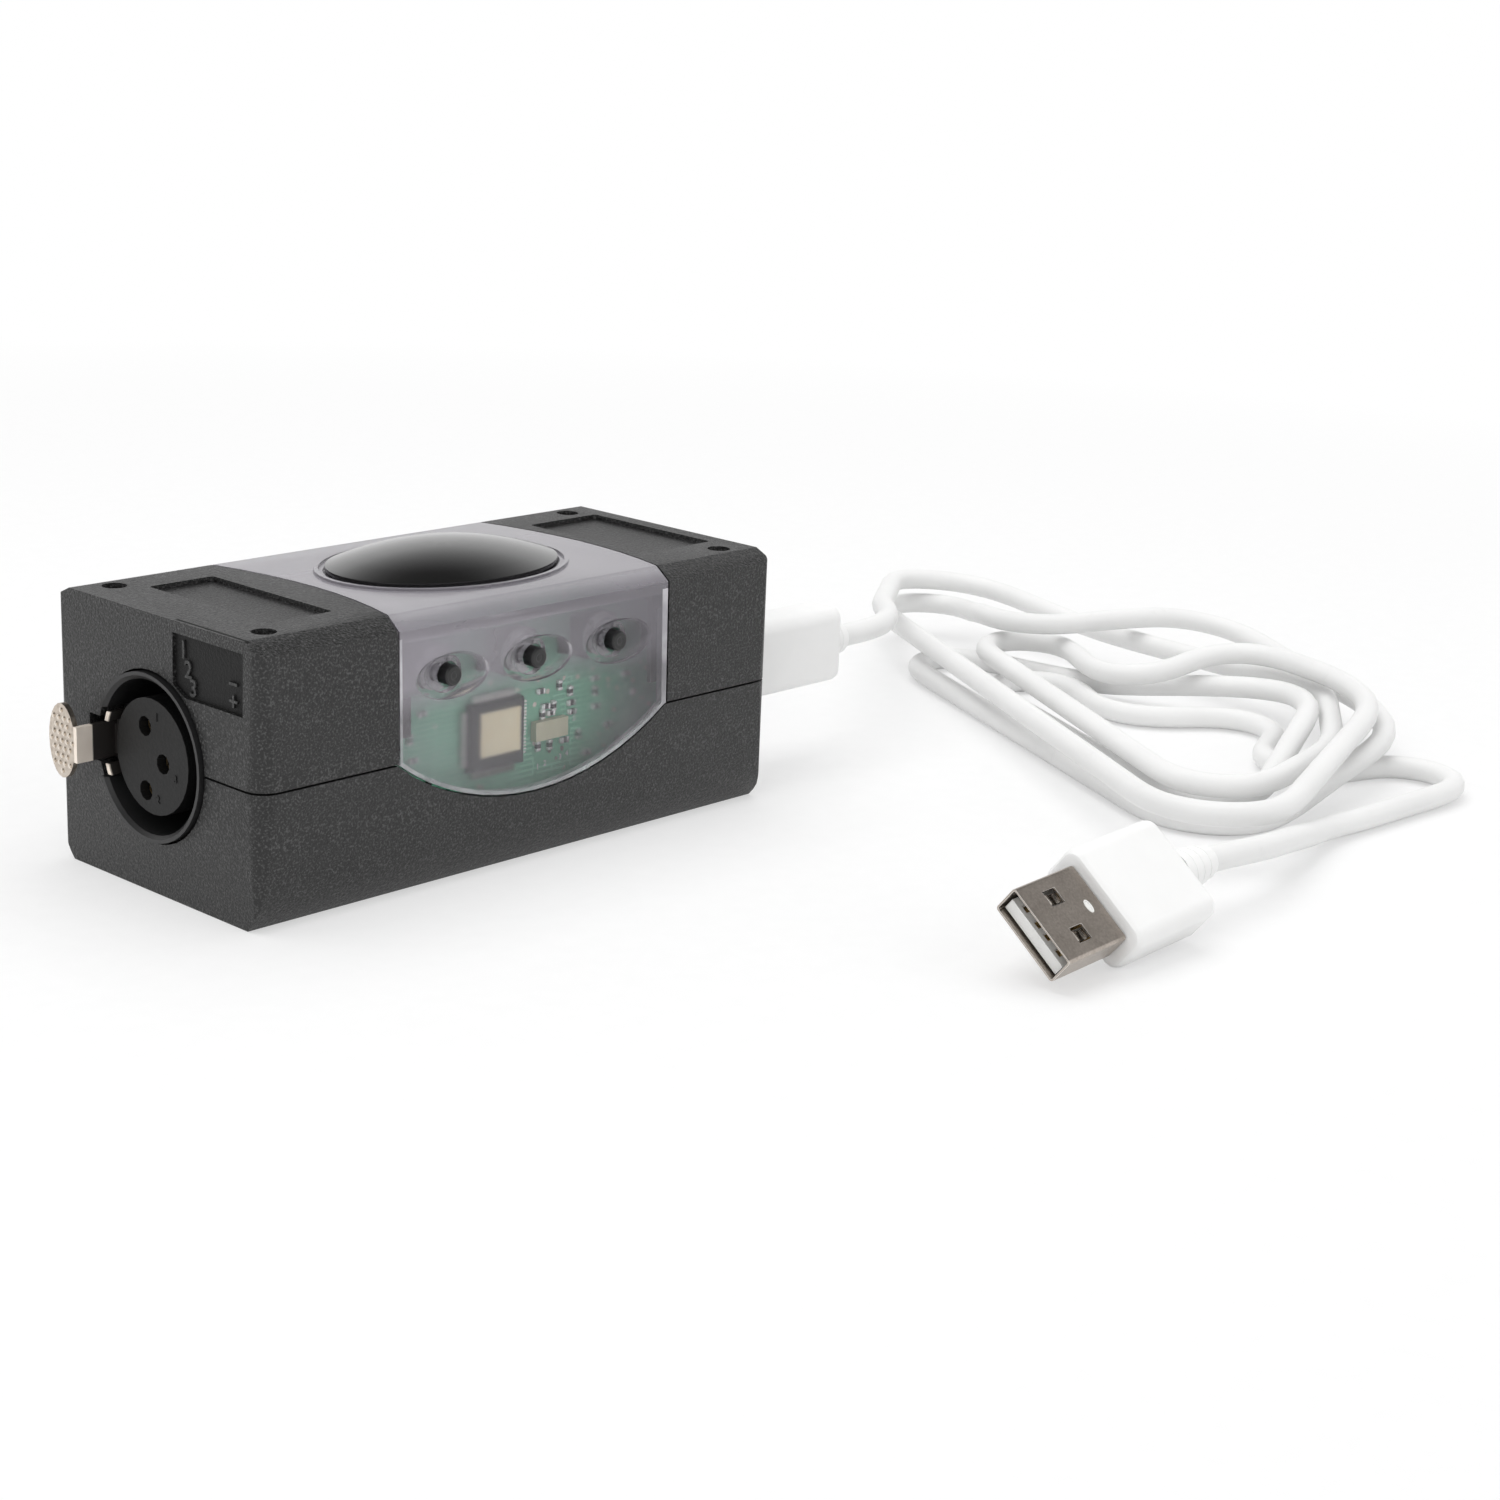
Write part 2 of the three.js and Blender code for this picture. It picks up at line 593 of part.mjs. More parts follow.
const tailBends = [
  [131, -50.5, -8.5, 2], [127.5, -69.5, 8, 2], [129, -86, -8, 2], [96, -92, 0, 2],
  [68, -99.6, 0, 7.6], [62, -99.6, 0, 8],
];
const coilFrom = [155.4, -20, 6.4];
const coilTo = [129.2, -60.3, 2];
const cordStep = 1.5;
const settling = { plan: 3, height: 5 };
const coilStep = { bend: 0.34, length: 14 };
const arcStep = 0.25;

// Straight runs and arcs of a cord pulled round its bends
function layRound(bends) {
  const ways = bends.slice(1).map(([x, y, radius], i) => {
    const [fromX, fromY, fromRadius] = bends[i];
    const apart = Math.hypot(x - fromX, y - fromY);
    return Math.atan2(y - fromY, x - fromX) - Math.asin((radius - fromRadius) / apart);
  });
  const points = [];
  bends.forEach(([x, y, radius, height, heightOut = height], i) => {
    if (radius === 0) {
      points.push(new THREE.Vector3(x, y, height));
      return;
    }
    const side = Math.sign(radius);
    const turn = side * THREE.MathUtils.euclideanModulo(side * (ways[i] - ways[i - 1]), 2 * Math.PI);
    const steps = Math.max(2, Math.ceil(Math.abs(turn) / arcStep));
    for (let k = 0; k <= steps; k += 1) {
      const way = ways[i - 1] + (turn * k) / steps;
      const z = height + ((heightOut - height) * k) / steps;
      points.push(new THREE.Vector3(x + radius * Math.sin(way), y - radius * Math.cos(way), z));
    }
  });
  return points;
}

function evenly(points, step) {
  const path = new THREE.CurvePath();
  for (let i = 1; i < points.length; i += 1) {
    if (points[i].distanceTo(points[i - 1]) > 1e-6) path.add(new THREE.LineCurve3(points[i - 1], points[i]));
  }
  return path.getSpacedPoints(Math.round(path.getLength() / step));
}

// Mean of each point and its neighbours, fewer of them toward the ends
function smoothed(points, reach) {
  return points.map((p, i) => {
    const near = Math.min(reach, i, points.length - 1 - i);
    const sum = new THREE.Vector3();
    for (let k = i - near; k <= i + near; k += 1) sum.add(points[k]);
    return sum.divideScalar(2 * near + 1);
  });
}

// One point for so much bend, or for so much length
function thinned(points, { bend, length }) {
  const kept = [points[0]];
  let turned = 0;
  for (let i = 1; i < points.length - 1; i += 1) {
    const before = points[i].clone().sub(points[i - 1]);
    turned += points[i + 1].clone().sub(points[i]).angleTo(before);
    if (turned > bend || points[i].distanceTo(kept.at(-1)) > length) {
      kept.push(points[i]);
      turned = 0;
    }
  }
  kept.push(points.at(-1));
  return kept;
}

// Tube through points, built ring by ring, with flat closed ends
function tube(points, radius, sides) {
  const count = points.length;
  const positions = [];
  const indices = [];
  let across = new THREE.Vector3(0, 0, 1);
  for (let i = 0; i < count; i += 1) {
    const ahead = points[Math.min(i + 1, count - 1)].clone().sub(points[Math.max(i - 1, 0)]).normalize();
    across = across.clone().addScaledVector(ahead, -across.dot(ahead)).normalize();
    const beside = new THREE.Vector3().crossVectors(ahead, across);
    for (let k = 0; k < sides; k += 1) {
      const angle = (2 * Math.PI * k) / sides;
      const p = points[i].clone()
        .addScaledVector(across, radius * Math.cos(angle))
        .addScaledVector(beside, radius * Math.sin(angle));
      positions.push(p.x, p.y, p.z);
    }
  }
  for (let i = 0; i < count - 1; i += 1) {
    for (let k = 0; k < sides; k += 1) {
      const a = i * sides + k;
      const b = i * sides + ((k + 1) % sides);
      indices.push(a, b, b + sides, a, b + sides, a + sides);
    }
  }
  const last = (count - 1) * sides;
  for (let k = 1; k < sides - 1; k += 1) {
    indices.push(0, k + 1, k, last, last + k, last + k + 1);
  }
  const geometry = new THREE.BufferGeometry();
  geometry.setAttribute('position', new THREE.Float32BufferAttribute(positions, 3));
  geometry.setIndex(indices);
  geometry.computeVertexNormals();
  return geometry;
}

// Least distance between the cord's surfaces where it passes itself
function leastGap(points, radius, step) {
  const apart = Math.ceil((radius * 7) / step);
  let least = Infinity;
  for (let i = 0; i < points.length; i += 1) {
    for (let j = i + apart; j < points.length; j += 1) least = Math.min(least, points[i].distanceTo(points[j]));
  }
  return least - 2 * radius;
}

const plugFrame = new THREE.Group();
plugFrame.position.set(farPlug.x, farPlug.y, farPlug.z);
plugFrame.rotation.set(
  THREE.MathUtils.degToRad(farPlug.roll), THREE.MathUtils.degToRad(-farPlug.pitch), 0, 'YXZ');
plugFrame.updateMatrixWorld(true);
part.add(plugFrame);

const farBody = { start: 12.3, length: 17.5 };
const farRelief = { start: farBody.start + farBody.length + faceGap, length: 8 };
const cordEnd = plugFrame.localToWorld(new THREE.Vector3(farRelief.start + farRelief.length + faceGap, 0, 0));

// Free length of cord: a round section drawn along its path
function drawn(points, steps) {
  const section = new THREE.Shape();
  for (let k = 0; k < 8; k += 1) {
    const angle = (Math.PI * k) / 4;
    section.lineTo(cordRadius * Math.cos(angle), cordRadius * Math.sin(angle));
  }
  const path = new THREE.CatmullRomCurve3(points, false, 'centripetal');
  path.arcLengthDivisions = points.length * 8;
  return toSolid(new THREE.ExtrudeGeometry(section, { steps, bevelEnabled: false, extrudePath: path }));
}

function addCord() {
  const start = [relief.start + relief.length + faceGap, plugY, 0, plugZ];
  const end = [cordEnd.x, cordEnd.y, 0, cordEnd.z];
  const route = evenly(layRound([start, ...leadBends, ...loopBends.flat(), ...tailBends, end]), cordStep);
  const heights = smoothed(smoothed(route, settling.height), settling.height);
  const line = smoothed(route, settling.plan);
  line.forEach((p, i) => p.setZ(Math.max(heights[i].z, cordRadius + 0.15)));
  const nearest = (place) => {
    const target = new THREE.Vector3(...place);
    const away = line.map((p) => p.distanceTo(target));
    return away.indexOf(Math.min(...away));
  };
  const [coilStart, coilEnd] = [nearest(coilFrom), nearest(coilTo)];
  const stretch = (from, to) => {
    const points = line.slice(from, to + 1);
    if (from > 0) points[0] = points[0].clone().lerp(points[1], faceGap / cordStep);
    return points;
  };
  piece('cord_lead', drawn(stretch(0, coilStart), 30), white);
  piece('cord_coil', tube(thinned(stretch(coilStart, coilEnd), coilStep), cordRadius, 6), white);
  piece('cord_tail', drawn(stretch(coilEnd, line.length - 1), 36), white);
  const length = (line.length - 1) * cordStep;
  const gap = leastGap(line, cordRadius, cordStep);
  console.log(`cord ${length.toFixed(0)} mm, least gap to itself ${gap.toFixed(2)} mm`);
}

// Far plug, drawn along its own X from the open end back to the cord

function farShell() {
  const outside = rounded(-6, 6, -2.25, 2.25, 0.5);
  const inside = rounded(-5.7, 5.7, -1.95, 1.95, 0.3);
  const skin = alongX(outside, 0, 12, 2).subtract(alongX(inside, -1, 11, 2));
  const cuts = [];
  for (const y of [-2.9, 2.9]) {
    for (const z of [-2.25, 2.25]) cuts.push(block(3.9, 6.4, y - 1.15, y + 1.15, z - 0.6, z + 0.6));
  }
  return cut(skin, ...cuts);
}

function farTongue() {
  const tongue = block(0.9, 10.7, -5.4, 5.4, -1.65, 0.1);
  const grooves = [-3.5, -1, 1, 3.5].map((y) => block(1.6, 9.5, y - 0.55, y + 0.55, -0.12, 1));
  return cut(tongue, ...grooves);
}

function farPlugBody() {
  const body = new THREE.ExtrudeGeometry(rounded(-7, 7, -3, 3, 1.2), {
    depth: farBody.length - 2.4, bevelEnabled: true,
    bevelThickness: 1.2, bevelSize: 1, bevelSegments: 3, curveSegments: 4,
  });
  return toSolid(body.applyMatrix4(ontoX).translate(farBody.start + 1.2, 0, 0));
}

// Assembly

piece('lower_shell', lowerShell(), black);
piece('end_cap_socket', capAtSocket(), black);
piece('end_cap_lead', capAtLead(), black);
piece('saddle_window', saddleWindow(), clear);
piece('badge_dome', badgeDome(), gloss).position.set(badge.x, 0, boxHeight - badge.seat + faceGap);

screwPlaces.forEach(([x, y], i) => {
  piece(`case_screw_${i + 1}`, caseScrew(), steel).position.set(x, y, wellFloor + 0.2);
});

piece('socket_housing', socketHousing(), black);
piece('contact_insert', contactInsert(), black);
contactPlaces.forEach((place, i) => piece(`socket_contact_${i + 1}`, contact(place), brass));
piece('latch_lever', latchLever(), nickel);
piece('latch_pin', rodZ(latchPin.radius, socketZ - 4.3, socketZ + 4.3, latchPin.x, latchPin.y), steel);

piece('circuit_board', circuitBoard(), green);
piece('main_chip', squareChip(), chipBlack);
piece('chip_label', onFront(-5.6, 1.8, 15, 21.4, 0.12, 1.75), beige);
piece('bridge_chip', smallChip(26, 20, 10, 5.3, 1.8), chipBlack);
piece('driver_chip', smallChip(-15, 25, 5, 3.9, 1.6), chipBlack);
piece('power_converter', onBack(-20, -0.4, 8, 18, 7), chipBlack);
piece('crystal_can', onBack(10, 21, 8, 12.5, 3.4), nickel);
piece('capacitor_can', rodY(3.2, boardBack + 0.15, boardBack + 7.8, 30, 29, 24), nickel);
piece('status_part', onFront(5.4, 11.6, 15.2, 18, 1.1), yellow);
[-buttonPitch, 0, buttonPitch].forEach((x, i) => {
  piece(`switch_body_${i + 1}`, switchBody(x), chipBlack);
  piece(`button_${i + 1}`, toGeometry(buttonPin()).rotateX(Math.PI), black).position.set(x, 0, buttonHeight);
});
piece('usb_socket', usbSocket(), nickel);

piece('lead_plug_shell', leadPlugShell(), nickel);
piece('lead_plug_body', leadPlugBody(), white);
piece('lead_relief', toSolid(ribbedRelief(relief.length, 3, 2.7, 2).rotateZ(-Math.PI / 2)), white)
  .position.set(relief.start, plugY, plugZ);
addCord();
piece('far_relief', toSolid(ribbedRelief(farRelief.length, 3.4, 2.5, 4).rotateZ(-Math.PI / 2)), white, plugFrame)
  .position.set(farRelief.start, 0, 0);
piece('far_plug_body', farPlugBody(), white, plugFrame);
piece('far_plug_shell', farShell(), nickel, plugFrame);
piece('far_plug_tongue', farTongue(), white, plugFrame);

export default part;
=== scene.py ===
import json, math
import bpy
from mathutils import Matrix, Vector

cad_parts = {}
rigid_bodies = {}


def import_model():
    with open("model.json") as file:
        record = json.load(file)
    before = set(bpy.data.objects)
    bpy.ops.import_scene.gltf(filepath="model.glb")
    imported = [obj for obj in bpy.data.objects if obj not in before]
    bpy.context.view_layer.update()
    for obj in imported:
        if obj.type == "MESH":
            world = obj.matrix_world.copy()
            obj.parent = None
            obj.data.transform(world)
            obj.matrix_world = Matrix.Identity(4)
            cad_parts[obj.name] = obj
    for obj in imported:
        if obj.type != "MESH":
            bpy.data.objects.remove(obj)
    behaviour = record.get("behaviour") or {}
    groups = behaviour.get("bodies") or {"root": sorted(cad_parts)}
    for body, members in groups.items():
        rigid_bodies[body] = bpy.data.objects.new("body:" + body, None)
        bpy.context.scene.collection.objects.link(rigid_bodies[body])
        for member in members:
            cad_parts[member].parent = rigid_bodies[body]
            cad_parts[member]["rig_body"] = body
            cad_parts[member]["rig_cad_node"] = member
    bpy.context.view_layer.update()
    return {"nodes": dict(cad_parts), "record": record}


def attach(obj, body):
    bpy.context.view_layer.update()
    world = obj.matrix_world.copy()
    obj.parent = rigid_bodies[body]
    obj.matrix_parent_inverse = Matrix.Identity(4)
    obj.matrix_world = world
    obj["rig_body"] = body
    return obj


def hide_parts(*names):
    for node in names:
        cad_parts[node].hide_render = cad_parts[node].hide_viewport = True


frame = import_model()
nodes = frame["nodes"]
bodyOf = {node: body for body, members in frame["record"]["behaviour"]["bodies"].items() for node in members}
mm = 0.001
black, white = (0.0, 0.0, 0.0), (1.0, 1.0, 1.0)


def setMode(name):
    bpy.ops.object.mode_set(mode=name)


def deselectAll():
    if bpy.context.object and bpy.context.object.mode != "OBJECT":
        setMode("OBJECT")
    bpy.ops.object.select_all(action="DESELECT")


def pick(piece):
    deselectAll()
    piece.select_set(True)
    bpy.context.view_layer.objects.active = piece


def linked(piece):
    bpy.context.scene.collection.objects.link(piece)
    return piece


def settle(piece):  # its place goes into the mesh, and the object stays at the origin
    pick(piece)
    bpy.ops.object.transform_apply(location=True, rotation=True, scale=True)
    return piece


def applyModifier(piece, kind, **settings):
    pick(piece)
    added = piece.modifiers.new(kind.lower(), kind)
    for key, value in settings.items():
        setattr(added, key, value)
    bpy.ops.object.modifier_apply(modifier=added.name)


def smooth(piece, angle):
    pick(piece)
    bpy.ops.object.shade_smooth_by_angle(angle=math.radians(angle))


facing = 0.9  # a face looks along an axis if more than this of its normal does


def selectFaces(piece, wanted):  # leaves the piece in edit mode
    pick(piece)
    setMode("EDIT")
    bpy.ops.mesh.select_mode(type="FACE")
    bpy.ops.mesh.select_all(action="DESELECT")
    setMode("OBJECT")
    for face in piece.data.polygons:
        face.select = wanted(face.center, face.normal)
    setMode("EDIT")


def pushOut(x, y, z):  # extrudes what is selected, in millimetres
    bpy.ops.mesh.extrude_region_move(TRANSFORM_OT_translate={"value": (x * mm, y * mm, z * mm)})


def setIn(thickness, depth=0.0):  # insets what is selected, in millimetres
    bpy.ops.mesh.inset(thickness=thickness * mm, depth=depth * mm)


def joined(pieces):
    deselectAll()
    for piece in pieces:
        piece.select_set(True)
    bpy.context.view_layer.objects.active = pieces[0]
    bpy.ops.object.join()
    return pieces[0]


def copies(piece, places):  # a copy with its own mesh at each place, then all as one piece
    made = []
    for place in places:
        copy = linked(piece.copy())
        copy.data = piece.data.copy()
        copy.matrix_world = place
        made.append(settle(copy))
    bpy.data.objects.remove(piece, do_unlink=True)
    return joined(made)


def finishPiece(piece, name, finish, body, stands=()):
    piece.name = piece.data.name = name
    piece.data.materials.clear()
    piece.data.materials.append(finishes[finish])
    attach(piece, body)
    if stands:
        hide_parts(*stands)


class Wire:
    def __init__(self, web, socket):
        self.web, self.socket = web, socket

    def worked(self, operation, *values):
        return self.web.node("Math", {"operation": operation}, dict(enumerate(values)))

    def __add__(self, other): return self.worked("ADD", self, other)
    def __sub__(self, other): return self.worked("SUBTRACT", self, other)
    def __rsub__(self, other): return self.worked("SUBTRACT", other, self)
    def __mul__(self, other): return self.worked("MULTIPLY", self, other)
    def __gt__(self, other): return self.worked("GREATER_THAN", self, other)
    def __lt__(self, other): return self.worked("LESS_THAN", self, other)

    def size(self): return self.worked("ABSOLUTE", self)
    def most(self, other): return self.worked("MAXIMUM", self, other)
    def least(self, other): return self.worked("MINIMUM", self, other)
    def between(self, low, high): return (self > low) * (self < high)
    def clipped(self): return self.web.node("Clamp", None, {"Value": self})
    def spread(self, low, high): return self * (high - low) + low


class Web:  # a node tree, for a material or the world
    def __init__(self, tree):
        self.tree = tree

    def node(self, kind, settings=None, sockets=None, out=0):
        made = self.tree.nodes.new("ShaderNode" + kind)
        for key, value in (settings or {}).items():
            if key == "stops":
                for stop, (place, colour) in zip(made.color_ramp.elements, value):
                    stop.position, stop.color = place, (*colour, 1)
            else:
                setattr(made, key, value)
        for key, value in (sockets or {}).items():
            self.link(made.inputs[key], value)
        return Wire(self, made.outputs[out])

    def link(self, socket, value):
        if isinstance(value, Wire):
            self.tree.links.new(value.socket, socket)
        elif isinstance(value, tuple) and len(value) == 3 and len(socket.default_value) == 4:
            socket.default_value = (*value, 1)
        else:
            socket.default_value = value

    def place(self):
        return self.node("TexCoord", out=3)

    def axes(self, where=None):
        split = self.node("SeparateXYZ", None, {0: where or self.place()}).socket.node
        return [Wire(self, socket) for socket in split.outputs]

    def noise(self, scale, detail=2.0, rough=0.5, where=None):
        return self.node("TexNoise", None, {
            "Vector": where or self.place(), "Scale": scale, "Detail": detail, "Roughness": rough})

    def toned(self, factor, low, high, reach=0.2):  # changes from low to high around a factor of a half
        stops = ((0.5 - reach, low), (0.5 + reach, high))
        return self.node("ValToRGB", {"stops": stops}, {"Fac": factor})

    def level(self, value, low, high, start=0.0, end=1.0):
        return self.node("MapRange", None, {
            "Value": value, "From Min": low, "From Max": high, "To Min": start, "To Max": end})

    def mixed(self, factor, one, other):
        return self.node("Mix", {"data_type": "RGBA"}, {0: factor, 6: one, 7: other}, out=2)

    def bump(self, height, depth):
        return self.node("Bump", None, {"Height": height, "Distance": depth})


class Finish(Web):
    def __init__(self, name, plain=None):
        self.material = bpy.data.materials.new(name)
        self.material.use_nodes = True
        super().__init__(self.material.node_tree)
        self.shader = self.tree.nodes["Principled BSDF"]
        self.end = self.tree.nodes["Material Output"].inputs["Surface"]
        for socket, value in (plain or {}).items():
            self.link(self.shader.inputs[socket], value)

    def set(self, **wires):
        for key, value in wires.items():
            self.link(self.shader.inputs[key.replace("_", " ")], value)

    def edges(self):  # 1 along the middle of the eased edges, as markEdges() says
        return self.node("Attribute", {"attribute_name": "edge"}, out=2)


# In the finishes a noise is its scale per metre, its detail and its roughness. Depths, x, y and z are in
# metres. The window's button side is at negative y, the socket's end at negative x.
steep = 0.15  # reach of a change of tone that is steeper than usual
noiseKinds = {"cloud": (4.0, 0.6), "grain": (3.0, 0.65), "metal": (3.0, 0.55)}  # detail and roughness

# plastics and paper: two tones, a range of roughness, a grain and its depth if unusual, a tone for a painted
# highlight along eased edges
mouldings = {
    "socket": {"name": "mouldedBlack", "low": (0.012, 0.012, 0.0125), "high": (0.016, 0.016, 0.0165),
               "rough": (0.34, 0.46), "edgeHighlightTone": (0.035, 0.035, 0.036)},
    "insert": {"name": "insertBlack", "low": (0.005, 0.005, 0.0051), "high": (0.008, 0.008, 0.0081),
               "rough": (0.46, 0.58), "grain": 1700, "depth": 0.00004, "edgeHighlightTone": (0.04, 0.04, 0.04),
               "plain": {"Specular IOR Level": 0.3}},
    "button": {"name": "buttonBlack", "low": (0.010, 0.010, 0.0105), "high": (0.015, 0.015, 0.0155),
               "rough": (0.32, 0.45), "grain": 2000, "edgeHighlightTone": (0.05, 0.05, 0.05)},
    "white": {"name": "whiteVinyl", "low": (0.85, 0.85, 0.845), "high": (0.88, 0.88, 0.875),
              "rough": (0.34, 0.44), "grain": 900, "depth": 0.000006},
    "tongue": {"name": "whiteNylon", "low": (0.74, 0.74, 0.72), "high": (0.80, 0.80, 0.78),
               "rough": (0.42, 0.52), "depth": 0.000006},
    "chip": {"name": "chipEpoxy", "low": (0.022, 0.022, 0.024), "high": (0.034, 0.034, 0.036),
             "rough": (0.5, 0.65), "grain": 3000},
    "label": {"name": "beigePaper", "low": (0.98, 0.86, 0.58), "high": (0.99, 0.91, 0.65),
              "rough": (0.7, 0.85), "cloud": 400},
    "resin": {"name": "paleResin", "low": (0.55, 0.54, 0.36), "high": (0.66, 0.65, 0.47),
              "rough": (0.25, 0.4)},
    "ink": {"name": "whiteInk", "low": (0.74, 0.75, 0.74), "high": (0.82, 0.82, 0.81),
            "rough": (0.55, 0.7), "grain": 2500, "depth": 0.000004},
    "resistor": {"name": "resistorBlack", "low": (0.030, 0.030, 0.032), "high": (0.05, 0.05, 0.052),
                 "rough": (0.4, 0.55), "grain": 2600},
}
edgeHighlightAndWear = {"noise": (420, 3.0), "between": (0.35, 0.7), "smoother": 0.12}


def moulded(name, low, high, rough, grain=1500, depth=0.00001, plain=None, cloud=60, edgeHighlightTone=None):
    made = Finish(name, plain)
    clouds = made.noise(cloud, *noiseKinds["cloud"])
    fine = made.noise(grain, *noiseKinds["grain"])
    colour = made.toned(clouds, low, high, steep)
    roughness = fine.spread(*rough)
    # painted highlight along the eased edges, in patches that are also smoother
    if edgeHighlightTone:
        patches = made.level(made.noise(*edgeHighlightAndWear["noise"]), *edgeHighlightAndWear["between"])
        litAndRubbed = made.edges() * patches
        colour = made.mixed(litAndRubbed, colour, edgeHighlightTone)
        roughness = roughness - litAndRubbed * edgeHighlightAndWear["smoother"]
    made.set(Base_Color=colour, Roughness=roughness, Normal=made.bump(fine, depth))
    return made.material


# metals: two tones, a range of roughness, a grain and its depth if unusual
platings = {
    "pip": {"name": "pipNickel", "low": (0.72, 0.65, 0.57), "high": (0.84, 0.77, 0.69),
            "rough": (0.16, 0.28)},
    "nickel": {"name": "platedNickel", "low": (0.56, 0.52, 0.47), "high": (0.66, 0.62, 0.57),
               "rough": (0.16, 0.30), "grain": 1200},
    "steel": {"name": "plainSteel", "low": (0.38, 0.38, 0.39), "high": (0.5, 0.5, 0.5),
              "rough": (0.28, 0.42)},
    # brass darkened far below its own tone: painted shade inside the socket's holes
    "brass": {"name": "shadedBrass", "low": (0.22, 0.16, 0.08), "high": (0.30, 0.22, 0.11),
              "rough": (0.36, 0.5)},
    "gold": {"name": "goldFlash", "low": (0.74, 0.55, 0.25), "high": (0.84, 0.66, 0.35),
             "rough": (0.18, 0.30), "depth": 0.000008},
    # half diffuse and near white, so solder and tinned ends show pale from any side: a painted highlight
    "tin": {"name": "solderTin", "low": (0.84, 0.84, 0.83), "high": (0.93, 0.93, 0.92),
            "rough": (0.12, 0.34), "grain": 900, "depth": 0.00004, "cloud": 900, "metallic": 0.5},
}


def plated(name, low, high, rough, grain=1500, depth=0.00001, cloud=300, metallic=1.0):
    made = Finish(name, {"Metallic": metallic})
    clouds = made.noise(cloud, *noiseKinds["metal"])
    made.set(Base_Color=made.toned(clouds, low, high), Roughness=clouds.spread(*rough))
    made.set(Normal=made.bump(made.noise(grain), depth))
    return made.material


# spark-eroded black: a fine sparkle painted as pale specks, and a slow drift in tone;
# a painted highlight in patches along eased edges, which are smoother there, and painted shade in the rougher
# recess
caseLook = {
    "drift": (22, 4.0, 0.6), "drifted": 0.004, "grain": (2300, 2.0, 0.7), "depth": 0.00018,
    "rough": (0.36, 0.52), "sparkleGlint": {"noise": (3300, 1.0), "between": (0.50, 0.72), "strength": 0.75},
    "edgeLightAndWear": {"noise": (380, 3.0), "between": (0.3, 0.7), "lit": 0.5, "smoother": 0.08},
    "recess": {"x": (-0.04712, -0.0466), "y": (-0.0195, -0.0043), "above": 0.0285, "shade": 0.003,
               "rougher": 0.3},
}


def caseFinish(name, shade, lit):
    made = Finish(name)
    sparkleGlint, edgeLightAndWear, recessShading = caseLook["sparkleGlint"], caseLook["edgeLightAndWear"], caseLook["recess"]
    x, y, z = made.axes()
    # painted shade over the legend's recess, which is also rougher
    recess = x.between(*recessShading["x"]) * y.between(*recessShading["y"]) * (z > recessShading["above"])
    clouds = made.noise(*caseLook["drift"])
    fine = made.noise(*caseLook["grain"])
    # pale specks in the lit tone: painted glints of the sparkle
    paintedGlints = made.level(made.noise(*sparkleGlint["noise"]), *sparkleGlint["between"])
    # painted highlight along the eased edges, in patches that are also smoother
    litAndRubbed = made.edges() * made.level(made.noise(*edgeLightAndWear["noise"]), *edgeLightAndWear["between"])
    colour = made.toned(clouds, (shade,) * 3, (shade + caseLook["drifted"],) * 3, steep)
    colour = made.mixed(paintedGlints * sparkleGlint["strength"], colour, (lit,) * 3)
    colour = made.mixed(litAndRubbed, colour, (lit * edgeLightAndWear["lit"],) * 3)
    colour = made.mixed(recess, colour, (recessShading["shade"],) * 3)
    roughness = fine.spread(*caseLook["rough"]) - litAndRubbed * edgeLightAndWear["smoother"] + recess * recessShading["rougher"]
    made.set(Base_Color=colour, Roughness=roughness, Normal=made.bump(fine, caseLook["depth"]))
    return made.material


# clear with a lilac tint, frosted inside except for one pane, hazier toward the top; near white haze on its
# edges is a painted highlight
windowLook = {
    "glass": {"Transmission Weight": 1.0, "IOR": 1.46, "Base Color": (0.975, 0.965, 0.985)},
    "skin": {"Roughness": 0.22, "Coat Weight": 0.15, "Coat Roughness": 0.06},
    "noise": {"grain": (1400, 2.0), "veil": (60, 2.0), "tabHighlight": (240, 3.0), "mottle": (700, 3.0)},
    "depth": 0.000004, "rough": 0.16,
    "pane": {"x": (-0.003, 0.0078), "z": (0.0125, 0.0265), "smoother": 0.135},
    "behind": {"y": -0.0205, "rougher": 4.0},
    # painted highlight along the tabs' edges: an arc about a height, given by its radius squared, and the
    # upright sides
    "arc": {"z": 0.0525, "squares": (0.001692, 0.001703), "below": 0.0192},
    "sides": {"x": (0.02418, 0.02435), "z": (0.0185, 0.036), "y": 0.0205},
    # the dishes are clearer; across and up are one over an oval's half axes
    "dish": {"pitch": 0.0155, "z": 0.02975, "across": 153.8, "up": 307.7, "edge": (0.95, 0.80)},
    "hazeTonesAndLight": {"left": ((0.40, 0.375, 0.425), (0.47, 0.445, 0.49)), "right": (0.215, 0.203, 0.23),
             "top": (0.27, 0.255, 0.285), "tabHighlight": ((0.40, 0.39, 0.42), (0.66, 0.65, 0.68)),
             "rim": (0.93, 0.92, 0.94), "toRight": (-0.02, 0.02), "toTop": (0.035, 0.0378)},
    # how much haze each part adds, and from where to where it grows
    "haze": {"all": 0.04, "upper": 0.40, "dish": 0.27, "top": 0.12, "left": 0.11, "right": 0.14,
             "tabHighlight": 0.32, "rim": 0.9, "mottle": 0.04, "toUpper": (0.0248, 0.0292),
             "toTop": (0.0362, 0.0384), "toLeft": (0.002, -0.022), "toRight": (0.009, 0.017)},
}


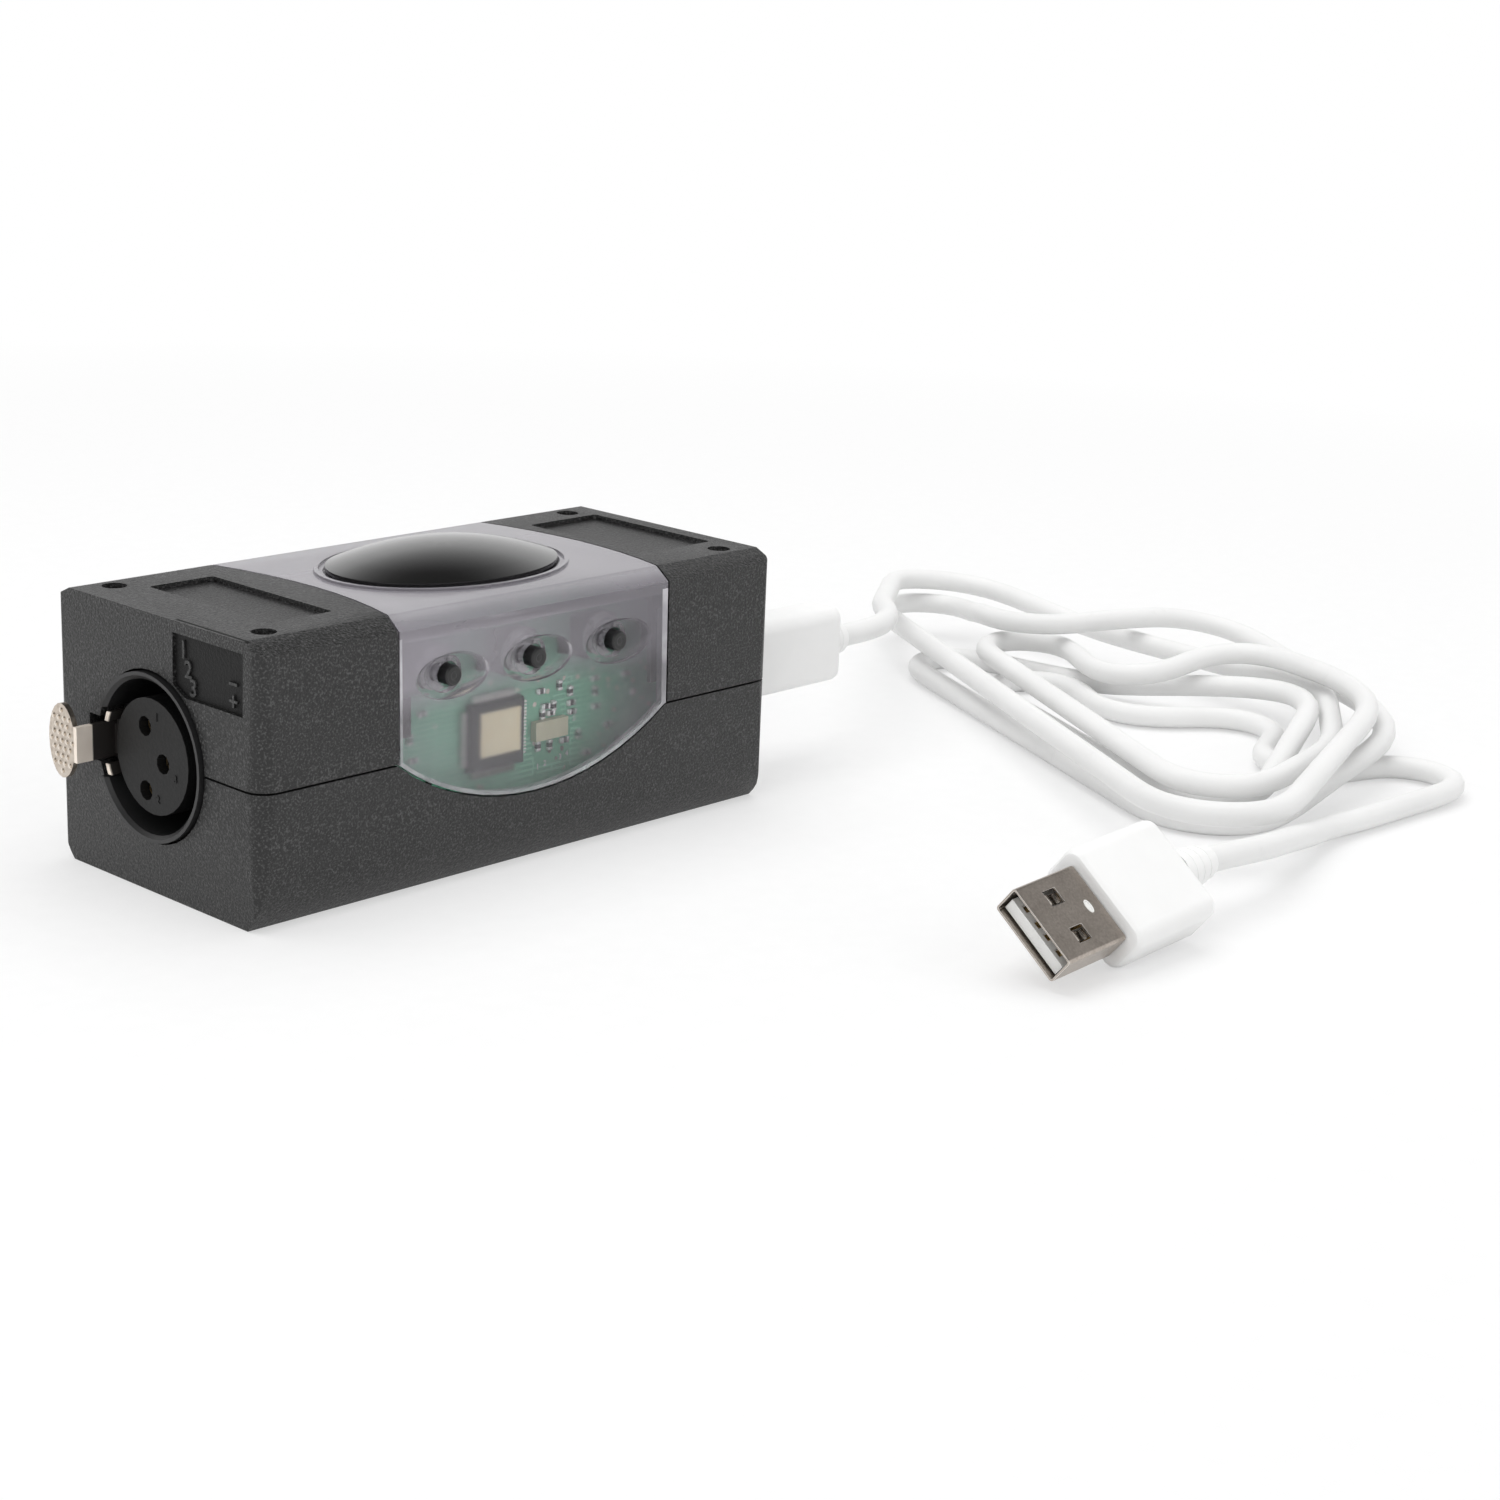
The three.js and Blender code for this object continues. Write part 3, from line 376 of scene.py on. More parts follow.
def windowFinish():
    made = Finish("clearMoulding", windowLook["glass"])
    pane, behind, arc, side, dish, hazeTonesAndLight, amount, noise = (
        windowLook[k] for k in ("pane", "behind", "arc", "sides", "dish", "hazeTonesAndLight", "haze", "noise"))
    x, y, z = made.axes()
    within = x.between(*pane["x"]) * z.between(*pane["z"]) * (y < 0.0)
    depth = (y - behind["y"]).clipped()
    made.set(Roughness=windowLook["rough"] - within * pane["smoother"] + depth * behind["rougher"])
    made.set(Normal=made.bump(made.noise(*noise["grain"]), windowLook["depth"]))
    # near white haze along the eased edges: a painted highlight
    rim = made.edges()
    low = z - arc["z"]
    # painted highlight along the tabs' edges
    lower = made.level(x * x + low * low, *arc["squares"]) * (z < arc["below"])
    upright = made.level(x.size(), *side["x"]) * z.between(*side["z"]) * (y.size() > side["y"])
    tabHighlight = lower.most(upright)
    # the haze's tone: painted light at the left, painted shade toward the right and on top
    veil = made.toned(made.noise(*noise["veil"]), *hazeTonesAndLight["left"])
    veil = made.mixed(made.level(x, *hazeTonesAndLight["toRight"]), veil, hazeTonesAndLight["right"])
    veil = made.mixed(made.level(z, *hazeTonesAndLight["toTop"]), veil, hazeTonesAndLight["top"])
    tabHighlightTone = made.toned(made.noise(*noise["tabHighlight"]), *hazeTonesAndLight["tabHighlight"], steep)
    colour = made.mixed(rim, made.mixed(tabHighlight, veil, tabHighlightTone), hazeTonesAndLight["rim"])
    skin = made.node("BsdfPrincipled", None, {"Base Color": colour, **windowLook["skin"]})
    off = x.size()
    off = off.least((off - dish["pitch"]).size()) * dish["across"]  # from the nearest of the three dishes
    out = (z - dish["z"]) * dish["up"]
    clear = made.level(off * off + out * out, *dish["edge"]) * (y < 0.0)
    haze = made.level(z, *amount["toUpper"]) * (amount["upper"] - clear * amount["dish"])
    haze = haze + made.level(z, *amount["toTop"]) * amount["top"]
    haze = haze + made.level(x, *amount["toLeft"]) * amount["left"]
    haze = haze + made.level(x, *amount["toRight"]) * amount["right"]
    haze = haze + tabHighlight * amount["tabHighlight"] + rim * amount["rim"] + amount["all"]
    haze = haze + (made.noise(*noise["mottle"]) - 0.5) * amount["mottle"]
    made.link(made.end, made.node("MixShader", None, {
        0: haze.clipped(), 1: Wire(made, made.shader.outputs[0]), 2: skin}))
    return made.material


# glossy black resin with a little dust in it
domeLook = {
    "plain": {"Coat Weight": 0.45, "Coat Roughness": 0.06, "IOR": 1.5}, "drift": (35, 2.0), "depth": 0.00006,
    "tones": ((0.0015, 0.0015, 0.0015), (0.003, 0.003, 0.0026)), "rough": (0.2, 0.25),
    "dust": {"noise": (1500, 2.0), "above": 0.74, "strength": 0.3, "tone": (0.06, 0.06, 0.055)},
}


def domeFinish():
    made = Finish("pouredResin", domeLook["plain"])
    slow, dust = made.noise(*domeLook["drift"]), domeLook["dust"]
    tone = made.toned(slow, *domeLook["tones"])
    dusty = (made.noise(*dust["noise"]) > dust["above"]) * dust["strength"]
    made.set(Base_Color=made.mixed(dusty, tone, dust["tone"]), Roughness=slow.spread(*domeLook["rough"]))
    made.set(Normal=made.bump(slow, domeLook["depth"]))
    return made.material


# green mask over copper tracks, with pads and vias; the far side has no bare metal
boardLook = {
    "plain": {"Coat Weight": 0.2, "Coat Roughness": 0.2}, "drift": (500, 2.0), "rough": (0.3, 0.45),
    "depth": 0.00003, "bond": {"offset": 0.37, "squash": 0.6},
    "rows": {"Scale": 1.0, "Mortar Size": 0.00016, "Mortar Smooth": 0.1, "Brick Width": 0.0061,
             "Row Height": 0.00078, "Color1": black, "Color2": black, "Mortar": white},
    "area": (110, 3.0), "vias": {"Scale": 520.0, "Randomness": 0.8}, "viaSize": 0.20,
    "far": (-0.01302, -0.01298),
    "mask": (0.17, 0.49, 0.315), "track": (0.27, 0.66, 0.46), "via": (0.62, 0.60, 0.52),
}


def boardFinish():
    made = Finish("solderMask", boardLook["plain"])
    where = made.place()
    turned = made.node("Mapping", None, {"Vector": where, "Rotation": (math.pi / 2, 0.0, 0.0)})
    rows = made.node("TexBrick", boardLook["bond"], {"Vector": turned, **boardLook["rows"]})
    area = made.noise(*boardLook["area"], where=where) > 0.5
    tracks = made.node("RGBToBW", None, {"Color": rows}) * area
    cells = made.node("TexVoronoi", {"feature": "F1"}, {"Vector": where, **boardLook["vias"]})
    vias = (cells < boardLook["viaSize"]) * (1 - area)
    tone = made.mixed(vias, made.mixed(tracks, boardLook["mask"], boardLook["track"]), boardLook["via"])
    far = made.level(made.axes(where)[1], *boardLook["far"])
    made.set(Base_Color=tone, Metallic=vias * (1 - far), Normal=made.bump(tracks + vias, boardLook["depth"]))
    made.set(Roughness=made.noise(*boardLook["drift"]).spread(*boardLook["rough"]))
    return made.material


# the other chips' epoxy; what reaches past the body is its tinned legs
mainChipLook = {
    "centre": (-0.0022, 0.0178), "half": 0.00505, "grain": (3000, 3.0, 0.6), "legs": (0.74, 0.73, 0.70),
    "smoother": 0.28, "depth": 0.00001,
}


def mainChipFinish():
    made, epoxy = Finish("mainChipEpoxy"), mouldings["chip"]
    x, y, z = made.axes()
    (midX, midZ), half = mainChipLook["centre"], mainChipLook["half"]
    legs = ((x - midX).size() > half).most((z - midZ).size() > half)
    fine = made.noise(*mainChipLook["grain"])
    body = made.toned(fine, epoxy["low"], epoxy["high"])
    made.set(Base_Color=made.mixed(legs, body, mainChipLook["legs"]), Metallic=legs)
    made.set(Roughness=fine.spread(*epoxy["rough"]) - legs * mainChipLook["smoother"])
    made.set(Normal=made.bump(fine, mainChipLook["depth"]))
    return made.material


# the latch: a pitted thumb tab with painted shade in its dimples, a painted highlight on its neck, and
# painted shadow on the lever inside the socket and along a middle strip
gripLook = {
    "tab": {"x": -0.0512, "y": 0.0119, "tones": ((0.56, 0.49, 0.42), (0.68, 0.61, 0.535)), "smoother": 0.16},
    "neckHighlight": {"tones": ((0.93, 0.83, 0.73), (0.99, 0.90, 0.80))}, "drift": (420, 3.0, 0.6),
    "metallic": (0.5, 1.0), "rough": (0.42, 0.60),
    "dimples": {"Scale": 1250.0, "Smoothness": 0.5, "Randomness": 0.6}, "depth": 0.00008,
    "pitShade": {"edge": (0.60, 0.22), "strength": 0.4, "tone": (0.27, 0.225, 0.18)},
    "strip": {"z": 0.019, "half": 0.0026, "x": (-0.0498, -0.0496)},
    "inside": {"x": (-0.04815, -0.0479), "tone": (0.012, 0.010, 0.009)},
}


def gripFinish():
    made = Finish("dimpledNickel")
    tab, pitShade, strip, inside = (gripLook[k] for k in ("tab", "pitShade", "strip", "inside"))
    x, y, z = made.axes()
    thumb = (x < tab["x"]) * (y > tab["y"])
    dimples = made.node("TexVoronoi", {"feature": "SMOOTH_F1"}, {
        "Vector": made.place(), **gripLook["dimples"]})
    clouds = made.noise(*gripLook["drift"])
    # the neck's paler tone is a painted highlight
    onTab, onNeckHighlight = (made.toned(clouds, *gripLook[k]["tones"]) for k in ("tab", "neckHighlight"))
    # darker in the dimples: painted shade
    shadedPits = thumb * made.level(dimples, *pitShade["edge"]) * pitShade["strength"]
    bare = made.mixed(shadedPits, made.mixed(thumb, onNeckHighlight, onTab), pitShade["tone"])
    # near black and not metallic: painted shadow on the lever inside the socket and along a middle strip
    leverStripShadow = ((z - strip["z"]).size() < strip["half"]) * made.level(x, *strip["x"])
    paintedShadow = leverStripShadow.most(made.level(x, *inside["x"]))
    made.set(Base_Color=made.mixed(paintedShadow, bare, inside["tone"]))
    made.set(Metallic=thumb.spread(*gripLook["metallic"]) * (1 - paintedShadow))
    made.set(Roughness=clouds.spread(*gripLook["rough"]) - thumb * tab["smoother"])
    made.set(Normal=made.bump(dimples * thumb, gripLook["depth"]))
    return made.material


# rolled sheet: dull on its flats, with a painted highlight along its cut and folded edges
shellLook = {
    "tones": ((0.375, 0.33, 0.29), (0.525, 0.47, 0.42)), "rim": (0.97, 0.95, 0.92), "rough": (0.22, 0.42),
    "rougher": 0.2, "drift": (260, 4.0, 0.6), "grain": (2600, 2.0, 0.6), "depth": 0.00002,
}


def shellFinish():
    made = Finish("rolledNickel", {"Metallic": 1.0})
    clouds = made.noise(*shellLook["drift"])
    grain = made.noise(*shellLook["grain"])
    # painted highlight along the eased edges
    rim = made.edges()
    tone = made.toned(clouds * 0.5 + grain * 0.5, *shellLook["tones"], steep)
    made.set(Base_Color=made.mixed(rim, tone, shellLook["rim"]))
    made.set(Roughness=clouds.spread(*shellLook["rough"]) + rim * shellLook["rougher"])
    made.set(Normal=made.bump(grain, shellLook["depth"]))
    return made.material


# soft white vinyl, lightly scuffed
cordLook = {
    "tones": ((0.79, 0.79, 0.785), (0.83, 0.83, 0.825)), "rough": (0.36, 0.48),
    "drift": (55, 3.0), "grain": (1100, 2.0), "depth": 0.00001, "plain": {"Specular IOR Level": 0.4},
    "scuffs": {"noise": (260, 5.0, 0.7), "between": (0.62, 0.75), "strength": 0.35,
               "tone": (0.70, 0.70, 0.69), "rougher": 0.2},
}


def cordFinish():
    made = Finish("cordVinyl", cordLook["plain"])
    scuff = cordLook["scuffs"]
    clouds = made.noise(*cordLook["drift"])
    fine = made.noise(*cordLook["grain"])
    scuffs = made.level(made.noise(*scuff["noise"]), *scuff["between"]) * scuff["strength"]
    made.set(Base_Color=made.mixed(scuffs, made.toned(clouds, *cordLook["tones"]), scuff["tone"]))
    made.set(Roughness=fine.spread(*cordLook["rough"]) + scuffs * scuff["rougher"])
    made.set(Normal=made.bump(fine, cordLook["depth"]))
    return made.material


finishes = {
    "case": caseFinish("texturedBlack", shade=0.006, lit=0.085),
    # the raised numerals: a paler copy of the case's black, painted light on their tops
    "raised": caseFinish("raisedBlackLit", shade=0.018, lit=0.08),
    "window": windowFinish(), "dome": domeFinish(), "board": boardFinish(), "mainChip": mainChipFinish(),
    "grip": gripFinish(), "cord": cordFinish(), "shell": shellFinish(),
    **{key: moulded(**row) for key, row in mouldings.items()},
    **{key: plated(**row) for key, row in platings.items()},
}
print("materials made:", len(finishes))

# bends that the cord lies round, box to far plug, in millimetres, as in the solid model:
# centre, radius (+ turns left, - turns right), height, height where it leaves; radius 0 is a point
cordWay = {
    "radius": 1.85, "rounding": 4, "step": 1.5, "arcStep": 0.25, "planReach": 3, "heightReach": 5,
    "floorGap": 0.15,
    "start": (76.2, -11.6, 19.0),
    "lead": [(82, 6.4, 18, 19), (104, 3, 0, 17.5), (145, 18, -13, 12.2, 9), (156.6, -4, 0, 6.4)],
    "loops": [
        [(142.5, -51, -10, 6.4), (110, -44, -34, 6.4), (97, -71.5, -9, 6.4), (134.3, -6.2, -8, 6.4),
         (139, -27, 8.5, 6.4, 8)],
        [(141, -46, -10, 10.6, 10.8), (115, -46, -35, 10.8), (81, -81.5, -11.5, 8.4), (143, 25, -8, 6.3),
         (143, -1, 9, 11)],
        [(156, -28, -12, 11.2, 8), (117.5, -41.5, -40.7, 6.4), (95, -72, -12, 2), (128, 4, -8, 2),
         (151, -20, 12.5, 2, 3)],
        [(137, -49.5, -9.5, 6.4), (116, -38, -32, 8.6), (102, -66.5, -9, 2), (126, -15, -8, 2),
         (137, -31, 11, 2)],
    ],
    "tail": [(131, -50.5, -8.5, 2), (127.5, -69.5, 8, 2), (129, -86, -8, 2), (96, -92, 0, 2),
             (68, -99.6, 0, 7.6), (62, -99.6, 0, 8)],
}
farPlug = {"place": (14.2, -99.4, 6.9), "roll": 39.5, "pitch": 2.5, "cordAt": 38.4}
plugTurn = (Matrix.Rotation(math.radians(-farPlug["pitch"]), 4, "Y")
            @ Matrix.Rotation(math.radians(farPlug["roll"]), 4, "X"))
plugPlace = Matrix.Translation(Vector(farPlug["place"])) @ plugTurn


def wayBetween(a, b):  # the direction of the straight run that touches both bends
    across, along = b[1] - a[1], b[0] - a[0]
    return math.atan2(across, along) - math.asin((b[2] - a[2]) / math.hypot(along, across))


def laidRound(bends):  # straight runs and arcs of a cord pulled round its bends
    ways = [wayBetween(a, b) for a, b in zip(bends, bends[1:])]
    points = []
    for i, (x, y, radius, height, *leaving) in enumerate(bends):
        if radius == 0:
            points.append(Vector((x, y, height)))
            continue
        side = math.copysign(1, radius)
        turn = side * ((side * (ways[i] - ways[i - 1])) % (2 * math.pi))
        steps = max(2, math.ceil(abs(turn) / cordWay["arcStep"]))
        rise = (leaving[0] - height) if leaving else 0
        for k in range(steps + 1):
            way = ways[i - 1] + turn * k / steps
            points.append(Vector((x + radius * math.sin(way), y - radius * math.cos(way),
                                  height + rise * k / steps)))
    return points


def evenly(points, step):
    spans = [(q - p).length for p, q in zip(points, points[1:])]
    total = sum(spans)
    count = round(total / step)
    made, gone, at = [points[0]], 0.0, 0
    for i in range(1, count):
        target = total * i / count
        while gone + spans[at] < target:
            gone += spans[at]
            at += 1
        made.append(points[at].lerp(points[at + 1], (target - gone) / spans[at]))
    return made + [points[-1]]


def smoothed(points, reach):  # mean of each point and its neighbours, fewer toward the ends
    made = []
    for i in range(len(points)):
        near = min(reach, i, len(points) - 1 - i)
        made.append(sum(points[i - near:i + near + 1], Vector()) / (2 * near + 1))
    return made


def makeLead():
    startX, startY, startZ = cordWay["start"]
    ending = plugPlace @ Vector((farPlug["cordAt"], 0, 0))
    bends = [(startX, startY, 0, startZ), *cordWay["lead"]]
    for loop in cordWay["loops"]:
        bends += loop
    bends += [*cordWay["tail"], (ending.x, ending.y, 0, ending.z)]
    route = evenly(laidRound(bends), cordWay["step"])
    heights = smoothed(smoothed(route, cordWay["heightReach"]), cordWay["heightReach"])
    line = smoothed(route, cordWay["planReach"])
    for p, raised in zip(line, heights):
        p.z = max(raised.z, cordWay["radius"] + cordWay["floorGap"])
    data = bpy.data.curves.new("leadCord", "CURVE")
    data.dimensions, data.use_fill_caps = "3D", True
    data.bevel_depth, data.bevel_resolution = cordWay["radius"] * mm, cordWay["rounding"]
    spline = data.splines.new("POLY")
    spline.points.add(len(line) - 1)
    for knot, p in zip(spline.points, line):
        knot.co = (*(p * mm), 1)
    spline.use_smooth = True
    cord = linked(bpy.data.objects.new("leadCord", data))
    finishPiece(cord, "leadCord", "cord", "case", ["cord_lead", "cord_coil", "cord_tail"])
    total = sum((q - p).length for p, q in zip(line, line[1:]))
    print("lead laid, mm:", round(total))
    return cord, total


leadCord, leadLength = makeLead()

# merge is in metres, the angles in degrees
cleaning = {"merge": 2e-6, "flat": 0.6, "easedFrom": 30, "smoothTo": 32}


def skinOf(node):  # a copy of a node's shape, cleaned up for work on its edges
    piece = linked(nodes[node].copy())
    piece.data = nodes[node].data.copy()
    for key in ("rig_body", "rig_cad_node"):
        if key in piece:
            del piece[key]
    piece.parent = None
    pick(piece)
    bpy.ops.mesh.customdata_custom_splitnormals_clear()
    setMode("EDIT")
    bpy.ops.mesh.select_all(action="SELECT")
    bpy.ops.mesh.remove_doubles(threshold=cleaning["merge"])
    bpy.ops.mesh.dissolve_limited(angle_limit=math.radians(cleaning["flat"]))
    setMode("OBJECT")
    return piece


def markEdges(piece):  # the bevel's faces carry material 1; vertices wholly among them get edge = 1
    mesh = piece.data
    inside = [True] * len(mesh.vertices)
    for face in mesh.polygons:
        if face.material_index == 0:
            for v in face.vertices:
                inside[v] = False
        face.material_index = 0
    marks = mesh.attributes.new("edge", "FLOAT", "POINT")
    marks.data.foreach_set("value", [float(v) for v in inside])


def easeEdges(piece, finish, width, segments):
    piece.data.materials.clear()
    for _ in range(2):  # the second slot marks the bevel's own faces
        piece.data.materials.append(finishes[finish])
    for face in piece.data.polygons:
        face.material_index = 0
    applyModifier(piece, "BEVEL", width=width * mm, segments=segments, material=1, limit_method="ANGLE",
                  angle_limit=math.radians(cleaning["easedFrom"]), harden_normals=False)
    markEdges(piece)


def dress(node, name, finish, slotName, edge=0.0, segments=2, shaped=None):
    piece = skinOf(node)
    if shaped:
        shaped(piece)
    if edge:
        easeEdges(piece, finish, edge, segments)
    smooth(piece, cleaning["smoothTo"])
    applyModifier(piece, "WEIGHTED_NORMAL", keep_sharp=True)
    finishPiece(piece, name, finish, bodyOf[node], [node])


# in millimetres: how near the front its face lies, and insets of the face, each with its depth
buttonRing = {"near": 0.1, "insets": ((0.55, 0.0), (0.14, -0.12), (0.12, 0.09))}


def dishButton(piece):  # a shallow ring pressed into the button's face
    front = min(v.co.y for v in piece.data.vertices)
    edge = front + buttonRing["near"] * mm
    selectFaces(piece, lambda centre, normal: normal.y < -facing and centre.y < edge)
    for inset in buttonRing["insets"]:
        setIn(*inset)
    setMode("OBJECT")


# edge is the width that an edge is eased by, in millimetres
dressed = {
    "lower_shell": {"name": "lowerShellSkin", "finish": "case", "slotName": "case_black", "edge": 0.25},
    "end_cap_socket": {"name": "socketCapSkin", "finish": "case", "slotName": "case_black", "edge": 0.3},
    "end_cap_lead": {"name": "leadCapSkin", "finish": "case", "slotName": "case_black", "edge": 0.3},
    "saddle_window": {"name": "windowSkin", "finish": "window", "slotName": "window_clear", "edge": 0.3,
                      "segments": 3},
    "badge_dome": {"name": "badgeSkin", "finish": "dome", "slotName": "dome_gloss"},
    **{f"case_screw_{k}": {"name": f"screwSkin{k}", "finish": "steel", "slotName": "screw_steel"}
       for k in (1, 2, 3, 4)},
    "socket_housing": {"name": "housingSkin", "finish": "socket", "slotName": "socket_black", "edge": 0.12},
    "contact_insert": {"name": "insertSkin", "finish": "insert", "slotName": "socket_black", "edge": 0.12},
    "latch_lever": {"name": "latchSkin", "finish": "grip", "slotName": "latch_nickel", "edge": 0.1},
    **{node: {"name": name, "finish": "white", "slotName": "plug_white"}
       for node, name in (("lead_plug_body", "nearPlugSkin"), ("lead_relief", "nearReliefSkin"),
                          ("far_plug_body", "farPlugSkin"), ("far_relief", "farReliefSkin"))},
    "far_plug_shell": {"name": "farShellSkin", "finish": "shell", "slotName": "plug_nickel", "edge": 0.12},
    "far_plug_tongue": {"name": "farTongueSkin", "finish": "tongue", "slotName": "tongue_white",
                        "edge": 0.05},
    **{f"button_{k}": {"name": f"buttonSkin{k}", "finish": "button", "slotName": "button_black", "edge": 0.1,
                       "shaped": dishButton} for k in (1, 2, 3)},
}
for node, row in dressed.items():
    dress(node, **row)
print("moulded pieces dressed:", len(dressed))

# nodes whose shape stays, by finish, and the cord's own, which leadCord hides
plainNodes = {
    "brass": ["socket_contact_1", "socket_contact_2", "socket_contact_3"],
    "steel": ["latch_pin", "crystal_can", "capacitor_can"],
    "board": ["circuit_board"], "mainChip": ["main_chip"], "label": ["chip_label"], "resin": ["status_part"],
    "chip": ["bridge_chip", "driver_chip", "power_converter",
             "switch_body_1", "switch_body_2", "switch_body_3"],
    "nickel": ["usb_socket", "lead_plug_shell"], "cord": ["cord_lead", "cord_coil", "cord_tail"],
}
finishOf = {node: finish for finish, members in plainNodes.items() for node in members}
finishOf.update({node: row["finish"] for node, row in dressed.items()})
for node, finish in finishOf.items():
    nodes[node].data.materials.clear()
    nodes[node].data.materials.append(finishes[finish])


def box(size, place):  # in millimetres
    bpy.ops.mesh.primitive_cube_add(size=1, location=[v * mm for v in place])
    piece = bpy.context.object
    piece.scale = [v * mm for v in size]
    return settle(piece)


def drawnUp(disc):  # raised in steps, each an inset and a rise in millimetres
    bpy.ops.mesh.primitive_circle_add(vertices=disc["sides"], radius=disc["radius"] * mm, fill_type="NGON")
    piece = bpy.context.object
    selectFaces(piece, lambda centre, normal: True)
    for inset, rise in disc["steps"]:
        pushOut(0, 0, rise)
        setIn(inset)
    setMode("OBJECT")
    return piece


def numeral(text, size, height, matrix, weight):
    bpy.ops.object.text_add()
    piece = bpy.context.object
    data = piece.data
    data.body, data.size, data.extrude, data.offset = text, size * mm, height / 2 * mm, weight * mm
    data.align_x, data.align_y, data.resolution_u = "CENTER", "CENTER", 3
    pick(piece)
    bpy.ops.object.convert(target="MESH")
    piece = bpy.context.object
    piece.matrix_world = matrix
    return settle(piece)


# in millimetres: solder and ink stand a hair off the board, and the tab's pips start a hair inside it
boardFront, hair = -14.6, 0.02


def faceOnBoard(x, z, turn=0.0):  # a place on the board's front, whose own +Z becomes -Y
    return (Matrix.Translation(Vector((x, boardFront, z)) * mm) @ Matrix.Rotation(math.pi / 2, 4, "X")
            @ Matrix.Rotation(math.radians(turn), 4, "Z"))


def onEnd(x, y, z):  # a place on the end with the socket, read from outside
    turn = Matrix.Rotation(-math.pi / 2, 4, "Z") @ Matrix.Rotation(math.pi / 2, 4, "X")
    return Matrix.Translation(Vector((x, y, z)) * mm) @ turn


smallParts = {
    "size": (1.35, 0.75, 0.5), "cap": 0.36, "lip": 0.04, "lift": 0.05, "lid": (0.06, 0.03), "eased": 0.02,
    "smooth": 30,
    "foot": {"inset": 0.08, "out": 0.14, "down": 0.12, "eased": 0.05},
    "places": [
        (8.0, 19.9, 0), (9.5, 19.7, 90), (7.4, 18.75, 90), (9.0, 18.75, 0), (12.7, 21.4, 90),
        (13.0, 19.6, 0), (13.2, 18.2, 0), (17.6, 22.5, 0), (17.7, 20.5, 90), (18.0, 18.2, 0),
        (23.9, 22.2, 0), (-15.0, 22.8, 0), (6.6, 14.2, 90), (8.9, 14.0, 90), (11.8, 14.2, 0),
        (7.0, 22.3, 0), (10.6, 22.6, 90), (-17.2, 19.5, 90), (-16.6, 16.4, 0), (-13.0, 12.2, 90),
        (14.6, 14.6, 90), (20.4, 15.1, 0), (22.6, 12.0, 90), (16.2, 11.6, 0),
    ],
}


def makeSmallParts():  # chip resistor: a dark body between two tinned ends that stand a little proud
    long, wide, high = smallParts["size"]
    lift, cap, lip, foot = (smallParts[k] for k in ("lift", "cap", "lip", "foot"))
    body = box((long - 2 * cap, wide, high), (0, 0, high / 2 + lift))
    selectFaces(body, lambda centre, normal: normal.z > facing)
    setIn(*smallParts["lid"])
    applyModifier(body, "BEVEL", width=smallParts["eased"] * mm, segments=1)
    end = box((cap, wide + 2 * lip, high + lip), ((long - cap) / 2, 0, (high + lip) / 2 + lift))
    selectFaces(end, lambda centre, normal: normal.x > facing)
    setIn(foot["inset"])
    pushOut(foot["out"], 0, -foot["down"])
    applyModifier(end, "BEVEL", width=foot["eased"] * mm, segments=2)
    ends = copies(end, [Matrix.Rotation(turn, 4, "Z") for turn in (0, math.pi)])
    spots = [faceOnBoard(*spot) for spot in smallParts["places"]]
    for piece, name, finish, slotName in ((body, "resistorBodies", "resistor", "chip_black"),
                                          (ends, "resistorEnds", "tin", "can_metal")):
        made = copies(piece, spots)
        smooth(made, smallParts["smooth"])
        finishPiece(made, name, finish, "case")
    print("chip parts:", len(spots))


makeSmallParts()

solderDots = {
    "sides": 14, "radius": 0.62, "smooth": 50,
    "steps": ((0.1, 0.10), (0.12, 0.16), (0.14, 0.14), (0.1, 0.04), (0.03, 0.16)),
    "places": [(3.9, 24.7), (-11.9, 24.7), (19.9, 24.7), (23.9, 24.9), (-19.6, 24.9), (9.2, 26.2),
               (6.3, 25.9), (-7.1, 25.9), (-9.6, 26.4), (22.3, 27.9), (-21.4, 27.5), (25.6, 19.0),
               (-24.0, 20.2)],
}


def makeSolder():  # a joint: a domed fillet that flares at its foot, with the wire's end in it
    dot = drawnUp(solderDots)
    raised = Matrix.Translation((0, 0, hair * mm))
    made = copies(dot, [faceOnBoard(x, z) @ raised for x, z in solderDots["places"]])
    smooth(made, solderDots["smooth"])
    finishPiece(made, "solderJoints", "tin", "case")
    print("solder joints:", len(solderDots["places"]))


makeSolder()

switchCovers = {
    "sides": 32, "hole": 1.75, "outer": 3.528, "thick": 0.18, "front": -18.22, "places": (-15.5, 0.0, 15.5),
    "height": 29.75, "smooth": 40,
    "rivet": {"sides": 12, "radius": 0.42, "depth": 0.3, "height": 0.25, "at": 2.15, "top": (0.14, 0.1)},
}


